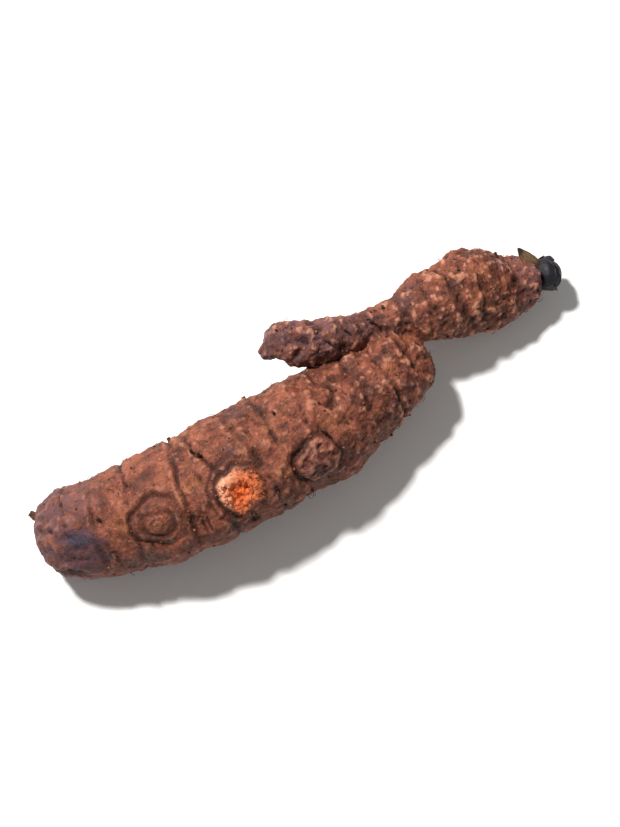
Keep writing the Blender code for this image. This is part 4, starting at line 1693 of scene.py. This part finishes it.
@dataclass
class Hairs:
    """Fine dead root hairs that lie over the skin."""

    density: float = 3.2e4
    length: float = 1.5 * MM
    # The hair's thickness and its bend, as shares of its length.
    thickness: float = 0.04
    bend: tuple[Point, Point, Point] = ((0.0, 0.0, -0.12), (0.25, 0.12, 0.55), (1.0, -0.1, 0.30))
    shortest: float = 0.45
    seed: int = 8
    finish: StubFinish = StubFinish()

    def build(self, skin: bpy.types.Object) -> bpy.types.Object:
        """Scatter short curled hairs over the skin.

        Args:
            skin: The root's skin.

        Returns:
            The finished piece.
        """
        scatter = Scatter(
            "scatter_hairs", Density=self.density, Length=self.length, Seed=self.seed
        )
        points = scatter.on_faces(scatter.entry["Density"])
        start, middle, end = self.bend
        arc = scatter.add("GeometryNodeCurveQuadraticBezier", {
            "Resolution": 7, "Start": start, "Middle": middle, "End": end,
        })
        circle = {"Resolution": 4, "Radius": self.thickness}
        tube = scatter.add("GeometryNodeCurveToMesh", {
            "Curve": arc,
            "Profile Curve": scatter.add("GeometryNodeCurvePrimitiveCircle", circle),
            "Fill Caps": True,
        })
        turn = scatter.add("FunctionNodeRotateRotation", {
            "Rotation": points.node.outputs["Rotation"],
            "Rotate By": scatter.draw_vector(4, (0.0, 0.0, 0.0), (0.0, 0.0, math.tau)),
        }, "Rotation", rotation_space="LOCAL")
        size = scatter.draw(5, self.shortest), scatter.entry["Length"]
        copies = scatter.stand(points, tube, turn, scatter.math("MULTIPLY", *size))
        return scatter.grow("root_hairs", skin.data, copies, self.finish.material())


@dataclass
class TornFlesh:
    """Moist orange grains and shreds that fill the broken scar."""

    density: float = 1.3e6
    largest: float = 0.55 * MM
    smallest_share: Point = (0.2, 0.2, 0.4)
    largest_share: Point = (0.6, 0.6, 1.0)
    bare_middle: tuple[float, float] = (0.30, 0.46)
    edge_power: float = 4.0
    seed: int = 3
    finish: FleshFinish = FleshFinish()

    def build(self, skin: bpy.types.Object) -> bpy.types.Object:
        """Scatter the grains over the flesh that the broken scar shows.

        Args:
            skin: The root's skin.

        Returns:
            The finished piece.
        """
        scatter = Scatter(
            "scatter_flesh", Density=self.density, Largest=self.largest, Seed=self.seed
        )
        entry = scatter.entry
        sharp = scatter.math("POWER", scatter.attribute("flesh"), self.edge_power)
        outer = scatter.add("ShaderNodeMapRange", {
            "Value": scatter.attribute("flesh_ring"),
            "From Min": self.bare_middle[0],
            "From Max": self.bare_middle[1],
        })
        share = scatter.math("MULTIPLY", sharp, outer)
        points = scatter.on_faces(scatter.math("MULTIPLY", share, entry["Density"]))
        grain = scatter.add("GeometryNodeMeshIcoSphere", {"Radius": 1.0, "Subdivisions": 1})
        turn = scatter.draw_vector(6, (0.0, 0.0, 0.0), FULL_TURN)
        size = scatter.draw_vector(7, self.smallest_share, self.largest_share)
        scale = {0: size, "Scale": entry["Largest"]}
        scale = scatter.add("ShaderNodeVectorMath", scale, "Vector", operation="SCALE")
        copies = scatter.tone(scatter.stand(points, grain, turn, scale), 8)
        return scatter.grow("torn_flesh", skin.data, copies, self.finish.material())


@dataclass
class EndBud:
    """The dark bud: a squat core wrapped in overlapping dried scales."""

    centre: Point = (60.5, 5.6, 6.2)
    way: Point = (1.0, -0.12, 0.05)
    half_length: float = 3.1 * MM
    radius: float = 3.0 * MM
    # The core's folds and its two sizes of wrinkle: how many or how fine, and how deep.
    folds: tuple[int, float] = (5, 0.08)
    wrinkles: tuple[tuple[float, float], ...] = ((2.6, 0.12), (6.0, 0.05))
    core_share: tuple[float, float] = (0.95, 0.97)
    core_wear: float = 0.25
    scales: int = 7
    scale_turn: float = 2.4
    scale_base: float = -0.75
    scale_step: float = 0.08 * MM
    scale_thickness: float = 0.22 * MM
    # How far a scale stands off at its tip and at its sides, and how it ruffles.
    curls: tuple[float, float] = (0.55 * MM, 0.20 * MM)
    ruffle: float = 0.28 * MM
    columns: int = 22
    rows: int = 20
    seed: int = 17
    finish: BudFinish = BudFinish()

    def core_radius(self, height: float) -> float:
        """Return the core's radius at a height from -1 at its base to 1 at its tip."""
        return self.radius * math.sqrt(max(0.0, 1.0 - height ** 2)) * (1.0 - 0.12 * max(height, 0))

    def add_core(self, bm: bmesh.types.BMesh, edge: bmesh.types.BMLayerItem) -> None:
        """Add the closed, faintly folded core.

        Args:
            bm: The mesh that it joins.
            edge: The layer that marks worn edges.
        """
        count, fold_depth = self.folds
        across_share, along_share = self.core_share
        made = bmesh.ops.create_uvsphere(bm, u_segments=48, v_segments=30, radius=1.0)
        for vert in made["verts"]:
            place = vert.co.copy()
            turn = math.atan2(place.y, place.x)
            bend = math.cos(turn * count + 2.4 * place.z)
            across = 1.0 + fold_depth * bend * (1.0 - place.z ** 2)
            across += sum(noise.noise(place * fine) * depth for fine, depth in self.wrinkles)
            across *= self.radius * across_share
            along = place.z * self.half_length * along_share
            vert.co = (place.x * across, place.y * across, along)
            vert[edge] = self.core_wear

    def scale_grid(
        self, turn: float, top: float, half_angle: float, proud: float
    ) -> dict[tuple[int, int], tuple[float, float, float, float]]:
        """Shape the outside of one curved, pointed scale that hugs the core.

        Args:
            turn: The angle of its middle round the bud.
            top: The height of its point, from -1 to 1.
            half_angle: Half its width, as an angle.
            proud: How far it stands off the core.

        Returns:
            The place and the wear of each of its points, by row and column.
        """
        tip_curl, side_curl = self.curls
        grid = {}
        for row, column in product(range(self.rows + 1), range(self.columns + 1)):
            v, u = row / self.rows, 2.0 * column / self.columns - 1.0
            height = self.scale_base + (top - self.scale_base) * v
            width = half_angle * math.sqrt(max(0.0, 1.0 - v ** 2.6)) + 0.02
            angle = turn + u * width
            curl = tip_curl * v ** 3 + side_curl * abs(u) ** 3
            ruffle = self.ruffle * noise.noise(Vector((turn + u, v * 2.0, proud * 9000.0)))
            radius = self.core_radius(height * 0.97) + proud + curl + ruffle
            worn = max(v ** 6, abs(u) ** 8)
            across = radius * math.cos(angle), radius * math.sin(angle)
            grid[row, column] = (*across, height * self.half_length, worn)
        return grid

    def add_scale(
        self, bm: bmesh.types.BMesh, edge: bmesh.types.BMLayerItem, grid: dict
    ) -> None:
        """Add one closed scale.

        Args:
            bm: The mesh that it joins.
            edge: The layer that marks worn edges.
            grid: The place and the wear of each point of its outside.
        """
        layers = []
        for inward in (0.0, self.scale_thickness):
            layer = {}
            for key, (x, y, z, worn) in grid.items():
                pull = 1.0 - inward / max(math.hypot(x, y), 0.4 * MM)
                layer[key] = bm.verts.new((x * pull, y * pull, z - 0.3 * inward))
                layer[key][edge] = worn
            layers.append(layer)
        outer, inner = layers
        for row, column in product(range(self.rows), range(self.columns)):
            corners = (row, column), (row, column + 1), (row + 1, column + 1), (row + 1, column)
            bm.faces.new([outer[corner] for corner in corners])
            bm.faces.new([inner[corner] for corner in reversed(corners)])
        rim = [(0, column) for column in range(self.columns + 1)]
        rim += [(row, self.columns) for row in range(1, self.rows + 1)]
        rim += [(self.rows, column) for column in range(self.columns - 1, -1, -1)]
        rim += [(row, 0) for row in range(self.rows - 1, 0, -1)]
        for here, following in zip(rim, rim[1:] + rim[:1]):
            bm.faces.new((outer[following], outer[here], inner[here], inner[following]))

    def build(self) -> bpy.types.Object:
        """Wrap the core in its scales and dress the bud.

        Returns:
            The finished piece.
        """
        draw = random.Random(self.seed)
        bm = bmesh.new()
        edge = bm.verts.layers.float.new("edge")
        self.add_core(bm, edge)
        for number in range(self.scales):
            self.add_scale(bm, edge, self.scale_grid(
                turn=number * self.scale_turn + draw.uniform(-0.2, 0.2),
                top=draw.uniform(0.35, 0.9) - 0.05 * number,
                half_angle=draw.uniform(0.75, 1.05),
                proud=0.02 * MM + self.scale_step * number,
            ))
        bmesh.ops.recalc_face_normals(bm, faces=bm.faces)
        bm.transform(standing(in_frame(self.centre), Vector(self.way)))
        bud = new_object("end_bud_scales", mesh_from(bm, "end_bud_scales"))
        finish_piece(bud, self.finish.material())
        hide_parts("end_bud")
        return bud


@dataclass
class Shoot:
    """The pointed shoot: a ribbed, flattened horn that curves back over the root."""

    base: Point = (59.4, 7.0, 8.1)
    tip: Point = (56.4, 11.7, 11.5)
    bend: float = 0.5 * MM
    radius: float = 1.8 * MM
    flattening: float = 0.6
    taper: float = 0.6
    ribs: int = 11
    rib_height: float = 0.07 * MM
    roughness: float = 0.12 * MM
    finish: ShootFinish = ShootFinish()

    def build(self) -> bpy.types.Object:
        """Model the horn with its ribs, and dress it.

        Returns:
            The finished piece.
        """
        base = in_frame(self.base)
        axis = in_frame(self.tip) - base
        bm = bmesh.new()
        rise_layer = bm.verts.layers.float.new("rise")
        rib_layer = bm.verts.layers.float.new("rib")
        made = bmesh.ops.create_uvsphere(bm, u_segments=96, v_segments=56, radius=1.0)
        for vert in made["verts"]:
            rise = (vert.co.z + 1.0) / 2.0
            arch = math.sin(math.pi * rise)
            turn = math.atan2(vert.co.y, vert.co.x)
            rib = math.cos(turn * self.ribs + 1.2 * noise.noise(vert.co * 2.0))
            across = self.radius * (1.0 - self.taper * rise ** 1.5)
            raised = self.rib_height * rib * arch + self.roughness * noise.noise(vert.co * 3.0)
            vert[rise_layer] = rise
            vert[rib_layer] = rib
            vert.co = (
                vert.co.x * (across + raised) + self.bend * arch,
                vert.co.y * (across * self.flattening + raised),
                rise * axis.length,
            )
        bm.transform(standing(base, axis))
        shoot = new_object("shoot_scale", mesh_from(bm, "shoot_scale"))
        finish_piece(shoot, self.finish.material())
        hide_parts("shoot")
        return shoot


@dataclass
class Studio:
    """The pale floor, the soft lights and the camera."""

    floor_size: float = 3.0
    # The photograph's picture plane: the root's X axis runs this far above its horizontal.
    roll: float = 25.0
    elevation: float = 76.0
    lens: float = 100.0
    distance: float = 0.455
    aim: Point = (0.3, -0.3, 8.0)
    clip: tuple[float, float] = (0.01, 10.0)
    light_distance: float = 0.9
    # Each light's power, its size and how far it hangs up, to the right and away.
    key: tuple[float, float, Point] = (13.4, 0.10, (1.0, -0.50, 0.40))
    fill: tuple[float, float, Point] = (0.9, 0.6, (0.8, 0.9, -0.4))
    lamp_colour: Point = (1.0, 0.98, 0.95)
    sky_colour: Colour = (1.0, 0.99, 0.96, 1.0)
    sky: float = 0.20

    def axes(self) -> tuple[Vector, Vector, Vector]:
        """Work out the picture's axes.

        Returns:
            The picture's right, its up and the way back to the camera.
        """
        roll, rise = math.radians(self.roll), math.radians(self.elevation)
        right = Vector((math.cos(roll), -math.sin(roll), 0.0))
        away = Vector((math.sin(roll), math.cos(roll), 0.0))
        back = UP * math.sin(rise) - away * math.cos(rise)
        return right, back.cross(right).normalized(), back

    def floor(self) -> None:
        """Lay the floor."""
        bm = bmesh.new()
        bmesh.ops.create_grid(bm, x_segments=1, y_segments=1, size=self.floor_size / 2)
        floor = new_object("floor", mesh_from(bm, "floor"))
        floor.data.materials.append(FloorFinish().material())

    def lights(self) -> None:
        """Hang the key at the picture's upper left, a weak fill, and a pale sky."""
        right, _, _ = self.axes()
        away = UP.cross(right)
        for name, (power, size, place) in (("key", self.key), ("fill", self.fill)):
            lamp = bpy.data.lights.new(name, "AREA")
            lamp.energy, lamp.size, lamp.color = power, size, self.lamp_colour
            way = UP * place[0] + right * place[1] + away * place[2]
            move = standing(way.normalized() * self.light_distance, way)
            new_object(name, lamp).matrix_world = move
        world = bpy.data.worlds.new("soft_sky")
        world.use_nodes = True
        backdrop = world.node_tree.nodes["Background"]
        backdrop.inputs["Color"].default_value = self.sky_colour
        backdrop.inputs["Strength"].default_value = self.sky
        bpy.context.scene.world = world

    def camera(self) -> None:
        """Set the camera at the photograph's viewing angle."""
        right, up, back = self.axes()
        data = bpy.data.cameras.new("camera")
        data.lens = self.lens
        data.clip_start, data.clip_end = self.clip
        camera = new_object("camera", data)
        turn = Matrix((right, up, back)).transposed().to_4x4()
        aim = Vector(self.aim) * MM
        camera.matrix_world = Matrix.Translation(aim + back * self.distance) @ turn
        bpy.context.scene.camera = camera

    def build(self) -> None:
        """Set up the floor, the lights, the camera and the plain colour view."""
        self.floor()
        self.lights()
        self.camera()
        bpy.context.scene.view_settings.view_transform = "Standard"


def report(piece: bpy.types.Object) -> None:
    """Log a piece's name and how many triangles it has."""
    triangles = sum(len(polygon.vertices) - 2 for polygon in piece.data.polygons)
    LOG.info("%s: %d triangles", piece.name, triangles)


def main() -> None:
    """Build the root's pieces in order and set up the studio."""
    logging.basicConfig(level=logging.INFO, format="%(name)s %(message)s")
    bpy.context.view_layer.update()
    form = RootForm()
    skin = Rhizome(form).build()
    report(skin)
    report(SoilCrumbs().build(skin))
    report(RootStubs(form).build())
    report(Hairs().build(skin))
    report(TornFlesh().build(skin))
    report(EndBud().build())
    report(Shoot().build())
    Studio().build()


if __name__ == "__main__":
    main()
